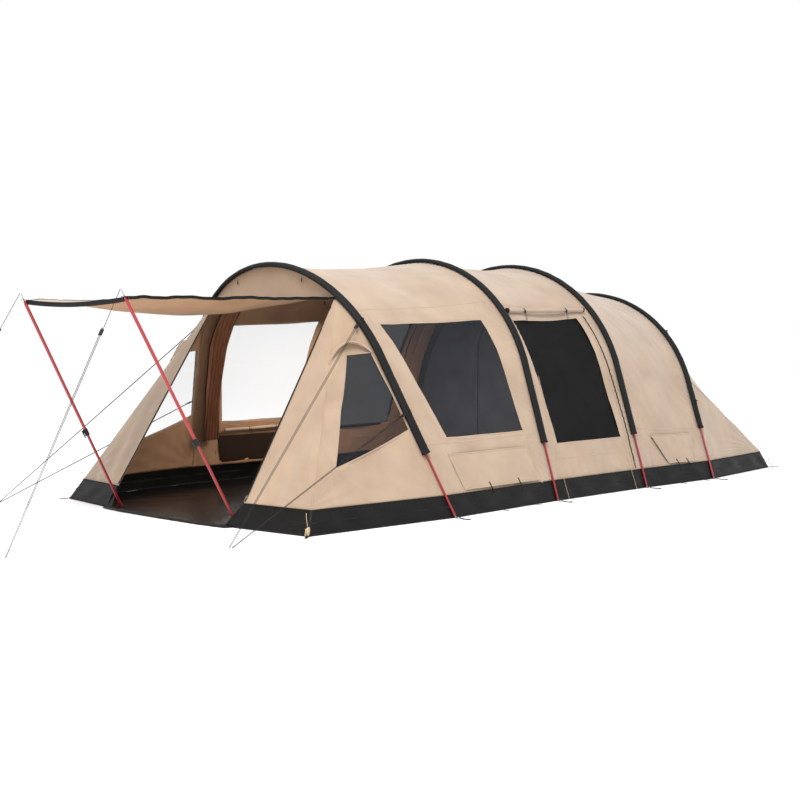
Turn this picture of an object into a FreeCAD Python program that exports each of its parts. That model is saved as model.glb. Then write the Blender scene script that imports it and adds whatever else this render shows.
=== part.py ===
import FreeCAD, Part
import math
import os

os.makedirs("parts", exist_ok=True)
V = FreeCAD.Vector

# ---------------------------------------------------------------- driving sizes
# Tunnel tent, millimetres, +Z up, length along Y, entrance at -Y.
# Stations are measured from the foot of the front arch and shifted by Y_SHIFT,
# so that the origin is at the middle of the tent's footprint, on the ground.
Y_SHIFT = -1476.4
ARCH_W = [3362.0, 3290.0, 3350.0, 3500.0]      # foot to foot, pole centre line
ARCH_H = [1994.0, 2100.0, 2097.0, 1848.0]      # pole centre line above ground
ARCH_Y = [0.0, 1373.0, 2713.0, 3800.0]         # foot stations
ARCH_LEAN = [-460.0, 0.0, 0.0, 301.0]          # top leans this far along Y
LEG_LEAN = [22.6, 17.47, 17.13, 22.4]          # degrees, legs towards the middle
POLE_R, POLE_WALL = 9.0, 1.2
SLEEVE_A, SLEEVE_B, SLEEVE_T = 27.0, 11.6, 1.6  # half width, half height, cloth
SLEEVE_END_Z = 490.0
FLY_OFF, FLY_T = -12.6, 2.0                    # cloth lies under the poles
SKIRT_Z = 165.0
FRONT_CORNER = (1530.0, -1405.0)
JAMB_FOOT = (815.0, -1500.0)
REAR_CORNER = (1608.0, 5211.0)
HEADER_Z, HEADER_X = 1719.0, 735.0
AWN_TIP = (676.0, -2300.0, 1681.5)
POLE_FOOT = (746.0, -1414.0)
UPPER_R, LOWER_R, TUBE_WALL = 12.5, 11.0, 1.0
SIDE_GUY_PEG = (1534.0, -2110.0)
AWN_GUY_PEG = (831.0, -3340.0)
EXTENT = {}


# ---------------------------------------------------------------- arch geometry
def arch_data(i):
    w, h, lean = ARCH_W[i], ARCH_H[i], ARCH_LEAN[i]
    hs = math.hypot(h, lean)
    al = math.radians(LEG_LEAN[i])
    ca, sa = math.cos(al), math.sin(al)
    zc = (hs - w / 2 * ca) / (1 - sa)
    r = hs - zc
    tx, tz = r * ca, zc + r * sa
    leg = math.hypot(w / 2 - tx, tz)
    return dict(w=w, h=h, hs=hs, al=al, zc=zc, r=r, tx=tx, tz=tz, leg=leg,
                arc=r * (math.pi / 2 - al), lean=lean)


AD = [arch_data(i) for i in range(4)]


def flat_pt(i, u, off=0.0):
    """Point in the arch's own plane: (x, height along the plane)."""
    a = AD[i]
    tot = 2 * (a["leg"] + a["arc"])
    s = u * tot
    s2 = min(s, tot - s)
    sg = 1.0 if s <= tot / 2 else -1.0
    ca, sa = math.cos(a["al"]), math.sin(a["al"])
    if s2 < a["leg"]:
        k = s2 / a["leg"]
        x = a["w"] / 2 + (a["tx"] - a["w"] / 2) * k + off * ca
        v = a["tz"] * k + off * sa
    else:
        th = a["al"] + (s2 - a["leg"]) / a["r"]
        x = (a["r"] + off) * math.cos(th)
        v = a["zc"] + (a["r"] + off) * math.sin(th)
    return sg * x, v


def arch_pt(i, u, off=0.0, fwd=0.0):
    x, v = flat_pt(i, u, off)
    a = AD[i]
    return V(x, ARCH_Y[i] + v * a["lean"] / a["hs"] + fwd, v * a["h"] / a["hs"])


def u_at_z(i, z, off=FLY_OFF):
    lo, hi = 0.0, 0.5
    for _ in range(50):
        m = (lo + hi) / 2
        if arch_pt(i, m, off).z < z:
            lo = m
        else:
            hi = m
    return (lo + hi) / 2


def to_arch(shape, i):
    """Turn a shape drawn in the plane y = 0 into the arch's leaning plane."""
    s = shape.copy()
    s.rotate(V(0, 0, 0), V(1, 0, 0), -math.degrees(math.atan2(ARCH_LEAN[i], ARCH_H[i])))
    s.translate(V(0, ARCH_Y[i], 0))
    return s


# ---------------------------------------------------------------- small helpers
def put(name, *shapes):
    flat = []
    for s in shapes:
        if isinstance(s, (list, tuple)):
            flat += list(s)
        else:
            flat.append(s)
    solids = []
    for s in flat:
        solids += s.Solids
    out = []
    for s in solids:
        if s.Volume < 0:
            s.reverse()
        t = s.copy()
        t.translate(V(0, Y_SHIFT, 0))
        out.append(t)
    shape = out[0] if len(out) == 1 else Part.makeCompound(out)
    bad = [k for k, s in enumerate(out) if not s.isValid() or s.Volume <= 0]
    pts = shape.tessellate(1.0)[0]
    b = FreeCAD.BoundBox(*[f([p[k] for p in pts]) for f in (min, max) for k in range(3)])
    EXTENT[name] = (b.XMin, b.YMin, b.ZMin, b.XMax, b.YMax, b.ZMax)
    print("%-28s solids %2d  vol %9.1f cm3  z %7.1f..%7.1f %s" % (
        name, len(out), sum(s.Volume for s in out) / 1000, b.ZMin, b.ZMax,
        "BAD %s" % bad if bad else ""))
    shape.exportStep("parts/%s.step" % name)


def mirror(shape):
    return shape.mirror(V(0, 0, 0), V(1, 0, 0))


def both(shapes):
    shapes = shapes if isinstance(shapes, list) else [shapes]
    return shapes + [mirror(s) for s in shapes]


def rod(p, q, r, r2=None):
    d = q - p
    if r2 is None:
        return Part.makeCylinder(r, d.Length, p, d)
    return Part.makeCone(r, r2, d.Length, p, d)


def tube(p, q, r, ri):
    return rod(p, q, r).cut(rod(p, q, ri))


def box(cx, cy, cz, lx, ly, lz):
    return Part.makeBox(lx, ly, lz, V(cx - lx / 2, cy - ly / 2, cz - lz / 2))


def oriented(shape, p, ex, ey, ez):
    """Place a shape drawn about the origin with its X, Y, Z along ex, ey, ez."""
    m = FreeCAD.Matrix(ex.x, ey.x, ez.x, p.x, ex.y, ey.y, ez.y, p.y,
                       ex.z, ey.z, ez.z, p.z, 0, 0, 0, 1)
    return shape.transformGeometry(m)


def unit(v):
    return V(v.x, v.y, v.z).normalize()


def plate(pts, direction, t):
    """Flat sheet: outline extruded by t along a direction."""
    w = Part.makePolygon(pts + [pts[0]])
    return Part.Face(w).extrude(unit(direction) * t)


def bow(points):
    if len(points) == 2:
        return Part.makeLine(points[0], points[1])
    c = Part.BSplineCurve()
    c.interpolate(points)
    return c.toShape()


def skin(rows_out, rows_in, ruled):
    """Closed thin sheet lofted through rows of outer and inner points."""
    wires = []
    for o, n in zip(rows_out, rows_in):
        wires.append(Part.Wire([bow(o), Part.makeLine(o[-1], n[-1]),
                                bow(n[::-1]), Part.makeLine(n[0], o[0])]))
    return Part.makeLoft(wires, True, ruled)


def rungs(a, b, t, outward):
    """Flat-ish cloth between two edges, thickness t on the inner side."""
    wires = []
    for k in range(len(a)):
        e = b[k] - a[k]
        f = (a[min(k + 1, len(a) - 1)] - a[max(k - 1, 0)]) + \
            (b[min(k + 1, len(a) - 1)] - b[max(k - 1, 0)])
        n = unit(e.cross(f))
        if n.dot(outward) < 0:
            n = n * -1.0
        n = n * t
        wires.append(Part.makePolygon([a[k], b[k], b[k] - n, a[k] - n, a[k]]))
    return Part.makeLoft(wires, True, True)


# ---------------------------------------------------------------- arch poles
def annulus(c, d, major, r1, r2, ri1, ri2):
    """Ring face across a path: major is the wide direction."""
    minor = d.cross(major).normalize()
    if r1 == r2:
        o, n = Part.Circle(c, d, r1).toShape(), Part.Circle(c, d, ri1).toShape()
    else:
        o = Part.Ellipse(c + major * r1, c + minor * r2, c).toShape()
        n = Part.Ellipse(c + major * ri1, c + minor * ri2, c).toShape()
    return Part.Wire(o), Part.Wire(n)


def band(i, u0, u1, r1, r2, ri1, ri2, cuts_leg=1, cuts_arc=6):
    """Tube along an arch from u0 to 1-u0, as jointed lengths."""
    a = AD[i]
    parts = []
    tot = 2 * (a["leg"] + a["arc"])
    s0 = u0 * tot
    maj = V(0, 1, 0)
    ca, sa = math.cos(a["al"]), math.sin(a["al"])
    d = V(-sa, 0, ca)
    n = cuts_leg
    for k in range(n):
        p = V(a["w"] / 2, 0, 0) + d * (s0 + (a["leg"] - s0) * k / n)
        length = (a["leg"] - s0) / n
        o, q = annulus(p, d, maj, r1, r2, ri1, ri2)
        body = Part.Face(o).extrude(d * length).cut(Part.Face(q).extrude(d * length))
        parts += [body, mirror(body)]
    step = (math.pi - 2 * a["al"]) / cuts_arc
    for k in range(cuts_arc):
        th = a["al"] + step * k
        c = V(a["r"] * math.cos(th), 0, a["zc"] + a["r"] * math.sin(th))
        dd = V(-math.sin(th), 0, math.cos(th))
        o, q = annulus(c, dd, maj, r1, r2, ri1, ri2)
        cen, ax = V(0, 0, a["zc"]), V(0, -1, 0)
        deg = math.degrees(step)
        body = Part.Face(o).revolve(cen, ax, deg).cut(Part.Face(q).revolve(cen, ax, deg))
        parts.append(body)
    return [to_arch(s, i) for s in parts]


for i in range(4):
    u_foot = 14.0 / (2 * (AD[i]["leg"] + AD[i]["arc"]))
    put("arch_pole_%d" % (i + 1),
        band(i, u_foot, None, POLE_R, POLE_R, POLE_R - POLE_WALL, POLE_R - POLE_WALL, 2, 6))
    put("pole_sleeve_%d" % (i + 1),
        band(i, u_at_z(i, SLEEVE_END_Z, 0.0), None, SLEEVE_A, SLEEVE_B,
             SLEEVE_A - SLEEVE_T, SLEEVE_B - SLEEVE_T, 1, 4))

# feet: a ring on the ground with a pin that stands up inside the pole's end
feet = []
for i in range(4):
    a = AD[i]
    d = V(-math.sin(a["al"]), 0, math.cos(a["al"]))
    p0 = V(a["w"] / 2, 0, 0)
    pin = to_arch(rod(p0 + d * 4, p0 + d * 72, 6.4), i)
    disc = Part.makeCylinder(9.2, 8, V(a["w"] / 2, ARCH_Y[i], 0))
    ring = Part.makeTorus(15, 4, V(a["w"] / 2 + 26, ARCH_Y[i], 4), V(0, 0, 1))
    feet.append(disc.fuse(pin).fuse(ring))
put("arch_foot_pins", both(feet))

# ---------------------------------------------------------------- fly sheet bays
CUTS = [0.2, 0.35, 0.5, 0.65, 0.8]
EDGE_GAP = 0.0


def sag(i, u, t):
    """Cloth between two arches hangs in a shallow saddle."""
    return -(8.0 + 34.0 * math.sin(math.pi * u) ** 2) * math.sin(math.pi * t) ** 1.0


def bay_pt(i, u, t, off):
    """Point of bay i (arch i to i+1): u round the arch, t along the tent."""
    s = sag(i, u, t)
    return arch_pt(i, u, off + s) * (1 - t) + arch_pt(i + 1, u, off + s) * t


def u_low(i, t):
    return u_at_z(i, SKIRT_Z) * (1 - t) + u_at_z(i + 1, SKIRT_Z) * t


def bay_strip(i, ua, ub, off, thick, ts=(0.0, 0.25, 0.5, 0.75, 1.0), n=9):
    ro, ri = [], []
    for t in ts:
        a = u_low(i, t) if ua is None else ua
        b = 1 - u_low(i, t) if ub is None else ub
        us = [a + (b - a) * k / (n - 1) for k in range(n)]
        ro.append([bay_pt(i, u, t, off) for u in us])
        ri.append([bay_pt(i, u, t, off - thick) for u in us])
    return skin(ro, ri, False)


def prism_x(yz, x0, x1):
    pts = [V(x0, y, z) for y, z in yz]
    w = Part.makePolygon(pts + [pts[0]])
    return Part.Face(w).extrude(V(x1 - x0, 0, 0))


def grow(yz, d):
    cy = sum(p[0] for p in yz) / len(yz)
    cz = sum(p[1] for p in yz) / len(yz)
    out = []
    for y, z in yz:
        r = math.hypot(y - cy, z - cz)
        out.append((y + (y - cy) / r * d, z + (z - cz) / r * d))
    return out


def bay_yz(i, pts):
    """(u, t) corners to (y, z) on the cloth."""
    out = []
    for u, t in pts:
        p = bay_pt(i, u, t, FLY_OFF)
        out.append((p.y, p.z))
    return out


WIN1 = bay_yz(0, [(0.297, 0.12), (0.292, 0.83), (0.20, 0.84), (0.11, 0.85), (0.115, 0.21), (0.20, 0.165)])
DOOR2 = bay_yz(1, [(0.285, 0.06), (0.292, 0.80), (0.26, 0.815), (0.205, 0.825), (0.14, 0.845),
                   (0.085, 0.86), (0.085, 0.15), (0.18, 0.105)])
VENT1 = bay_yz(0, [(0.086, 0.20), (0.082, 0.80), (0.040, 0.82), (0.042, 0.24)])
VENT3 = bay_yz(2, [(0.081, 0.28), (0.083, 0.80), (0.042, 0.76), (0.042, 0.44)])
HOLES = {0: [WIN1, VENT1], 1: [DOOR2], 2: [VENT3]}

for i in range(3):
    strips = []
    us = [None] + CUTS + [None]
    for k in range(3):
        s = bay_strip(i, us[k], us[k + 1], FLY_OFF, FLY_T)
        for hole in HOLES[i]:
            if k < 2:
                s = s.cut(prism_x(hole, 700, 2200))
        strips += both(s)
    put("fly_bay_%d" % (i + 1), strips)


def pane(i, hole, off, thick, margin):
    shell = bay_strip(i, None, 0.35, off, thick, n=13)
    return shell.common(prism_x(grow(hole, margin), 700, 2200))


put("side_windows", both(pane(0, WIN1, FLY_OFF - FLY_T - 0.6, 1.2, 16)))
put("mesh_panels", both([pane(1, DOOR2, FLY_OFF - FLY_T - 0.6, 1.2, 16),
                         pane(0, VENT1, FLY_OFF - FLY_T - 0.6, 1.2, 12),
                         pane(2, VENT3, FLY_OFF - FLY_T - 0.6, 1.2, 12)]))

# ---------------------------------------------------------------- front gable
u_h = u_at_z(0, HEADER_Z)
A0 = AD[0]
FRONT_N = V(0, -A0["h"] / A0["hs"], A0["lean"] / A0["hs"])   # out of the front arch's plane
gable_pts = [arch_pt(0, u_h + (1 - 2 * u_h) * k / 24, FLY_OFF) for k in range(25)]
gable = plate([p + FRONT_N * 0.4 for p in gable_pts], FRONT_N, FLY_T)

# ---------------------------------------------------------------- porch wings
ridge_top = arch_pt(0, u_h, FLY_OFF) + FRONT_N * 3.0 + V(-1, 0, -6)
ridge_foot = V(FRONT_CORNER[0], FRONT_CORNER[1], 0)
jamb_top = V(750, ridge_top.y + 1, ridge_top.z)
jamb_foot = V(JAMB_FOOT[0], JAMB_FOOT[1], 0)


def on(p, q, z):
    k = (z - p.z) / (q.z - p.z)
    return p + (q - p) * k


wing_a, wing_b = [], []
for k in range(11):
    u = u_low(0, 0) + (u_h - 0.004 - u_low(0, 0)) * k / 10
    wing_a.append(arch_pt(0, u, FLY_OFF) + FRONT_N * 0.9)
    wing_b.append(on(ridge_foot, ridge_top, SKIRT_Z + (ridge_top.z - 12 - SKIRT_Z) * k / 10))
wing_side = rungs(wing_a, wing_b, FLY_T, V(1, -0.3, 0))
W_WIN = [(-530, 1281), (-299, 1303), (-225, 980), (-146, 659), (-1004, 410), (-770, 845)]
W_HOLE = [(-545, 1262), (-346, 1280), (-268, 980), (-200, 680), (-985, 432), (-764, 845)]
wing_side = wing_side.cut(prism_x(W_HOLE, 600, 2200))
put("wing_sides", both(wing_side))

pane_a = [p - V(0.9, -0.3, 0.45) * 3.6 for p in wing_a]
pane_b = [p - V(0.9, -0.3, 0.45) * 3.6 for p in wing_b]
wp = rungs(pane_a, pane_b, 1.2, V(1, -0.3, 0)).common(prism_x(grow(W_HOLE, 14), 600, 2200))
put("wing_windows", both(wp))

zs = [SKIRT_Z + (ridge_top.z - 14 - SKIRT_Z) * k / 6 for k in range(7)]
fr_a = [on(ridge_foot, ridge_top, z) + V(-3, -3.5, 0) for z in zs]
fr_b = [on(jamb_foot, jamb_top, z) for z in zs]
front = rungs(fr_b, fr_a, FLY_T, V(0.3, -1, 0.6))
put("wing_fronts", both(front))

# hoods: a cloth eave bowed over each wing window
n_w = unit(V(0.93, -0.28, 0.48))
h0, h1, h2 = V(998, -705, 1205), V(975, -520, 1392), V(1030, -338, 1292)
hood_pts_o = []


def wing_x(y, z):
    """Sideways position of the wing's outer face at (y, z)."""
    best = None
    for k in range(len(wing_a) - 1):
        for m in range(21):
            f = m / 20
            a = wing_a[k] + (wing_a[k + 1] - wing_a[k]) * f
            b = wing_b[k] + (wing_b[k + 1] - wing_b[k]) * f
            g = (y - a.y) / (b.y - a.y)
            p = a + (b - a) * g
            d = abs(p.z - z)
            if best is None or d < best[0]:
                best = (d, p.x)
    return best[1]


for k in range(9):
    s = k / 8
    p = h0 * (1 - s) ** 2 + h1 * 2 * s * (1 - s) + h2 * s * s
    p = p + V(0, 0, 30) * math.sin(math.pi * s)
    p.x = wing_x(p.y, p.z)
    hood_pts_o.append((p + n_w * 6, p + n_w * (12 + 58 * math.sin(math.pi * s)) + V(0, 0, -18)))
hood = rungs([a for a, b in hood_pts_o], [b for a, b in hood_pts_o], 2.0, V(0, 0, 1))
put("window_hoods", both(hood))

# ---------------------------------------------------------------- rear of the tent
RC = V(REAR_CORNER[0], REAR_CORNER[1], 0)


def ground_right(i):
    return V(ARCH_W[i] / 2 + FLY_OFF, ARCH_Y[i], 0)


SLOPE_IN = math.tan(math.radians(22.0)) * SKIRT_Z
rear_low = {0.0: V(arch_pt(3, u_at_z(3, SKIRT_Z), FLY_OFF).x, arch_pt(3, u_at_z(3, SKIRT_Z), FLY_OFF).y, SKIRT_Z),
            0.2: V(RC.x - 62, RC.y - 82, SKIRT_Z)}
u3 = u_at_z(3, SKIRT_Z)
A3 = AD[3]
REAR_N = V(0, A3["h"] / A3["hs"], -A3["lean"] / A3["hs"])
rear_parts = []


def rear_strip(ua, ub, ga, gb, ia, ib, off=FLY_OFF, thick=FLY_T, n=7):
    """Cloth from the rear arch to the ground edge ga-gb; ia, ib are the inner corners."""
    us = [ua + (ub - ua) * k / (n - 1) for k in range(n)]
    r0 = [arch_pt(3, u, off) + REAR_N * 0.4 for u in us]
    i0 = [arch_pt(3, u, off - thick) + REAR_N * 0.4 for u in us]
    r1 = [ga + (gb - ga) * (k / (n - 1)) for k in range(n)]
    i1 = [ia + (ib - ia) * (k / (n - 1)) for k in range(n)]
    return skin([r0, r1], [i0, i1], True)


C_R = rear_low[0.2]
C_L = V(-C_R.x, C_R.y, C_R.z)
in_c = V(-2.8, -2.8, 0)
side_r = rear_strip(u3, 0.2, rear_low[0.0], C_R, rear_low[0.0] + V(-2.4, 0, 0), C_R + in_c)
rear_parts += both(side_r)
q = [C_R + (C_L - C_R) * k / 4 for k in range(5)]
back = V(0, -2.8, 0)
rear_parts += both([rear_strip(0.2, 0.35, q[0], q[1], C_R + in_c, q[1] + back),
                    rear_strip(0.35, 0.5, q[1], q[2], q[1] + back, q[2] + back)])
put("rear_wall", rear_parts)

# ---------------------------------------------------------------- skirts and ground sheet
SK_OUT, SK_T = 2.6, 2.2


def skirt(tops, feet_pts, inward):
    """Upright strip; inward is the sideways thickness at each station."""
    quads = []
    for a, b, n in zip(feet_pts, tops, inward):
        quads.append(Part.makePolygon([a, b, b + n, a + n, a]))
    return [Part.makeLoft([quads[k], quads[k + 1]], True, True) for k in range(len(quads) - 1)]


def leg_pt(i, z, off):
    a = AD[i]
    x = a["w"] / 2 - math.tan(a["al"]) * z * a["hs"] / a["h"] + off / math.cos(a["al"])
    return V(x, ARCH_Y[i] + a["lean"] * z / a["h"], z)


TOPZ = SKIRT_Z + 6
e_r = unit(rear_low[0.0] - C_R)
out_r = unit(V(-e_r.y, e_r.x, 0))
if out_r.x < 0:
    out_r = out_r * -1.0
rear_side_top = C_R + e_r * 22 + out_r * 4.4 + V(0, 0, TOPZ - SKIRT_Z)
rear_side_foot = RC + e_r * 22 + out_r * 3.6
rear_side_foot.z = 0
side_top = [on(ridge_foot, ridge_top, TOPZ) + V(6.0, 14.6, 0)] + \
           [leg_pt(i, TOPZ, -9.8) for i in range(4)] + [rear_side_top]
side_foot = [ridge_foot + V(6.0, 14.6, 0)] + [leg_pt(i, 0, -9.8) for i in range(4)] + [rear_side_foot]
inw = V(-SK_T, 0, 0)
segs = skirt(side_top, side_foot, [inw * 1.0 for k in range(6)])
fs_top = [on(ridge_foot, ridge_top, TOPZ) + V(-7, -8, 0), on(jamb_foot, jamb_top, TOPZ) + V(2, -6, 0)]
fs_foot = [ridge_foot + V(-9, -8, 0), jamb_foot + V(2, -6, 0)]
segs += skirt(fs_top, fs_foot, [V(0, SK_T, 0)] * 2)
put("skirt_sides", both(segs))
rear_top = [C_R + V(-16, 5.4, 6), V(0, C_R.y + 5.4, TOPZ), C_L + V(16, 5.4, 6)]
rear_foot = [RC + V(-16, 4.4, 0), V(0, RC.y + 4.4, 0), V(-RC.x + 16, RC.y + 4.4, 0)]
put("skirt_rear", skirt(rear_top, rear_foot, [V(0, -SK_T, 0)] * 3))

sheet = [V(0, -1585, 0), V(500, -1578, 0), V(778, -1552, 0), V(800, -1470, 0),
         V(FRONT_CORNER[0] - 30, FRONT_CORNER[1] + 22, 0),
         V(ARCH_W[0] / 2 - 34, ARCH_Y[0], 0), V(ARCH_W[1] / 2 - 34, ARCH_Y[1], 0),
         V(ARCH_W[2] / 2 - 34, ARCH_Y[2], 0), V(ARCH_W[3] / 2 - 34, ARCH_Y[3], 0),
         V(REAR_CORNER[0] - 26, REAR_CORNER[1] - 20, 0)]
sheet = sheet + [V(-p.x, p.y, 0) for p in sheet[:0:-1]]
put("groundsheet", plate(sheet, V(0, 0, 1), 1.5))

# ---------------------------------------------------------------- inner tent
IN_OFF, IN_T = -110.0, 1.4
IY = ARCH_Y[2] + 70.0


def inner_pt(u, t):
    a = arch_pt(2, u, IN_OFF)
    a = V(a.x, IY, a.z)
    b = arch_pt(3, u, IN_OFF - 30)
    return a * (1 - t) + b * t


def inner_u(i, off):
    return u_at_z(i, 60.0, off)


def inner_strip(ua, ub, n=7):
    ro, ri = [], []
    us = [ua + (ub - ua) * k / (n - 1) for k in range(n)]
    for t in (0.0, 1.0):
        def pt(u, d):
            a = arch_pt(2, u, IN_OFF - d)
            a = V(a.x, IY, a.z)
            b = arch_pt(3, u, IN_OFF - 30 - d)
            return a if t == 0 else b
        ro.append([pt(u, 0) for u in us])
        ri.append([pt(u, IN_T) for u in us])
    return skin(ro, ri, True)


ui = u_at_z(2, 60.0, IN_OFF)
IC = V(1380, 4985, 60)
ICL = V(-1380, 4985, 60)
ui3 = u_at_z(3, 60.0, IN_OFF - 30)


def inner_rear(ua, ub, ga, gb, ia, ib):
    return rear_strip(ua, ub, ga, gb, ia, ib, IN_OFF - 30, IN_T)


uu = max(ui, ui3)
p_low = arch_pt(3, uu, IN_OFF - 30)
iq = [IC + (ICL - IC) * k / 4 for k in range(5)]
in_g = p_low + unit(IC - p_low) * 60
inner = both([inner_strip(uu, 0.2), inner_strip(0.2, 0.35), inner_strip(0.35, 0.5),
              inner_rear(uu, 0.2, in_g, IC, in_g + V(-2, 0, 0), IC + V(-2, -2, 0)),
              inner_rear(0.2, 0.35, iq[0], iq[1], IC + V(-2, -2, 0), iq[1] + V(0, -2, 0)),
              inner_rear(0.35, 0.5, iq[1], iq[2], iq[1] + V(0, -2, 0), iq[2] + V(0, -2, 0))])
# front wall with its door opening, in three convex pieces a side
ID_W, ID_H, ID_Z = 450.0, 1500.0, 190.0
fw_y = IY - 0.5
right_pts = [arch_pt(2, uu + (0.5 - uu) * k / 14, IN_OFF - 0.5) for k in range(15)]
right_pts = [V(p.x, fw_y, p.z) for p in right_pts]
full = right_pts + [V(-p.x, p.y, p.z) for p in right_pts[-2::-1]]
front_full = plate(full, V(0, -1, 0), IN_T)
door_cut = box(0, fw_y, ID_Z + ID_H / 2, 2 * ID_W, 40, ID_H)
front_full = front_full.cut(door_cut)
cutters = [box(ID_W + 1000, fw_y, 1500, 2000, 60, 3000), box(-ID_W - 1000, fw_y, 1500, 2000, 60, 3000)]
mid = front_full.cut(cutters[0]).cut(cutters[1])
inner += [front_full.common(c) for c in cutters] + [mid]
put("inner_tent", inner)
floor_pts = [V(p_low.x, IY + 4, 0), V(p_low.x, p_low.y, 0), V(IC.x, IC.y - 6, 0)]
floor_pts[0] = V(right_pts[0].x - 8, IY + 4, 0)
ipts = floor_pts + [V(-p.x, p.y, 0) for p in floor_pts[::-1]]
ipts = [p + V(0, 0, 2.0) for p in ipts]
put("inner_floor", plate(ipts, V(0, 0, 1), 1.2))
print("INNER", -ID_W - 15, fw_y - IN_T - 3.5 + Y_SHIFT, ID_Z + ID_H / 2)
put("inner_door", box(0, fw_y - IN_T - 2.5, ID_Z + ID_H / 2, 2 * ID_W + 30, 2.0, ID_H + 30))

# ---------------------------------------------------------------- awning
AX, AY, AZ = AWN_TIP
top_y = jamb_top.y - 5.0
HINGE = V(0, top_y, HEADER_Z - 4)
adir = unit(V(0, AY - HINGE.y, AZ - HINGE.z))
an = V(0, -adir.z, adir.y)
if an.z < 0:
    an = an * -1.0
alen = math.hypot(AY - HINGE.y, AZ - HINGE.z)
HEM = 32.0


def on_panel(x, s, n=0.0):
    return HINGE + V(x, 0, 0) + adir * s + an * n


def half(s):
    return HEADER_X + (AX - HEADER_X) * s / alen


p0, p1 = 3.0, alen - HEM
pts = [on_panel(-half(p0), p0, -1), on_panel(half(p0), p0, -1),
       on_panel(half(p1), p1, -1), on_panel(-half(p1), p1, -1)]
put("awning_panel", plate(pts, an, 2.0))
h0_, h1_ = p1 + 0.3, alen - 1.5
pts = [on_panel(-half(h0_), h0_, -1.5), on_panel(half(h0_), h0_, -1.5),
       on_panel(half(h1_), h1_, -1.5), on_panel(-half(h1_), h1_, -1.5)]
put("awning_hem", plate(pts, an, 3.0))
# header seam strip that the raised door hangs from
pts = [V(-HEADER_X - 8, top_y + 6.5, HEADER_Z - 18), V(HEADER_X + 8, top_y + 6.5, HEADER_Z - 18),
       V(HEADER_X + 8, top_y + 6.5, HEADER_Z + 4), V(-HEADER_X - 8, top_y + 6.5, HEADER_Z + 4)]
put("front_gable", gable, plate(pts, V(0, 1, 0), 3.0))

# ---------------------------------------------------------------- awning poles (right, mirrored)
PX = 664.0
piv = on_panel(PX, alen)
eye = on_panel(PX, alen + 20.5)
foot = V(POLE_FOOT[0], POLE_FOOT[1], 16.6)
pd = unit(foot - eye)
PLEN = (foot - eye).Length
tab = oriented(Part.makeBox(36, 36, 3, V(-18, -18, -1.5)), on_panel(PX, alen + 1.5 + 18.4),
               V(1, 0, 0), adir, an)
tab = tab.cut(rod(eye - an * 10, eye + an * 10, 5.0))
CLAMP_S = 0.635 * PLEN
cap0, cap1 = eye + pd * 8, eye + pd * 34
upper = tube(eye + pd * 34, eye + pd * CLAMP_S, UPPER_R, LOWER_R + 0.5)
cap = rod(cap0, cap1, 5.0, UPPER_R).fuse(rod(eye - pd * 52, cap0, 3.0))
upper = upper.fuse(cap)
lower_top = CLAMP_S - 150.0
lower = tube(eye + pd * lower_top, foot, LOWER_R, LOWER_R - TUBE_WALL)
lower = lower.fuse(Part.makeSphere(13.5, foot)).fuse(rod(foot - pd * 26, foot, LOWER_R + 2.5))
# clamp: collar round the lower end of the outer tube, with two lugs for the lever
ex = V(1, 0, 0)
fwdv = unit(pd.cross(ex))
if fwdv.y > 0:
    fwdv = fwdv * -1.0
ex = unit(fwdv.cross(pd))
if ex.x < 0:
    ex = ex * -1.0
c0 = eye + pd * (CLAMP_S - 46)
collar = tube(c0, c0 + pd * 46, 18.0, UPPER_R + 0.02)
stop = tube(c0 + pd * 46, c0 + pd * 56, 18.0, LOWER_R + 0.6)
hub = c0 + pd * 14 + fwdv * 25.5
lug = oriented(Part.makeBox(5, 15, 18, V(7, -10.5, -9)), hub, ex, fwdv, pd)
lug2 = oriented(Part.makeBox(5, 15, 18, V(-12, -10.5, -9)), hub, ex, fwdv, pd)
clamp = collar.fuse(stop).fuse(lug).fuse(lug2)
clamp = clamp.cut(rod(hub - ex * 14, hub + ex * 14, 2.5))
pin_hole = rod(hub - ex * 6.5, hub + ex * 6.5, 6.5)
lever = pin_hole.fuse(rod(hub - ex * 11.9, hub + ex * 11.9, 2.2))
lever = lever.fuse(oriented(Part.makeBox(13, 5, 50, V(-6.5, 0.5, 2)), hub, ex, fwdv, pd))
for name, s in (("awning_pole_upper", upper), ("eyelet_tab", tab), ("awning_pole_lower", lower),
                ("pole_clamp", clamp), ("clamp_lever", lever)):
    put(name + "_right", s)
    put(name + "_left", mirror(s))
print("HINGE", HINGE.x, HINGE.y + Y_SHIFT, HINGE.z, "alen", alen, "adir", adir)
print("PIVOT", piv.x, piv.y + Y_SHIFT, piv.z, "pole dir", pd, "len", PLEN)
print("LEVER", hub.x, hub.y + Y_SHIFT, hub.z, "axis", ex, "foot", foot.x, foot.y + Y_SHIFT)

# ---------------------------------------------------------------- rolled side-door covers
ra = bay_pt(1, 0.300, 0.045, FLY_OFF)
rb = bay_pt(1, 0.305, 0.90, FLY_OFF)
out_n = unit(V(0.72, 0, 0.69))
RR = 22.0
roll = rod(ra + out_n * (RR + 4), rb + out_n * (RR + 4), RR)
put("side_door_rolls", both(roll))

# rolled blinds that hang inside, under the first bay's windows
ba, bb = bay_pt(0, 0.102, 0.22, -44.0), bay_pt(0, 0.099, 0.84, -44.0)
put("window_blinds", both(rod(ba, bb, 16)))

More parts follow.
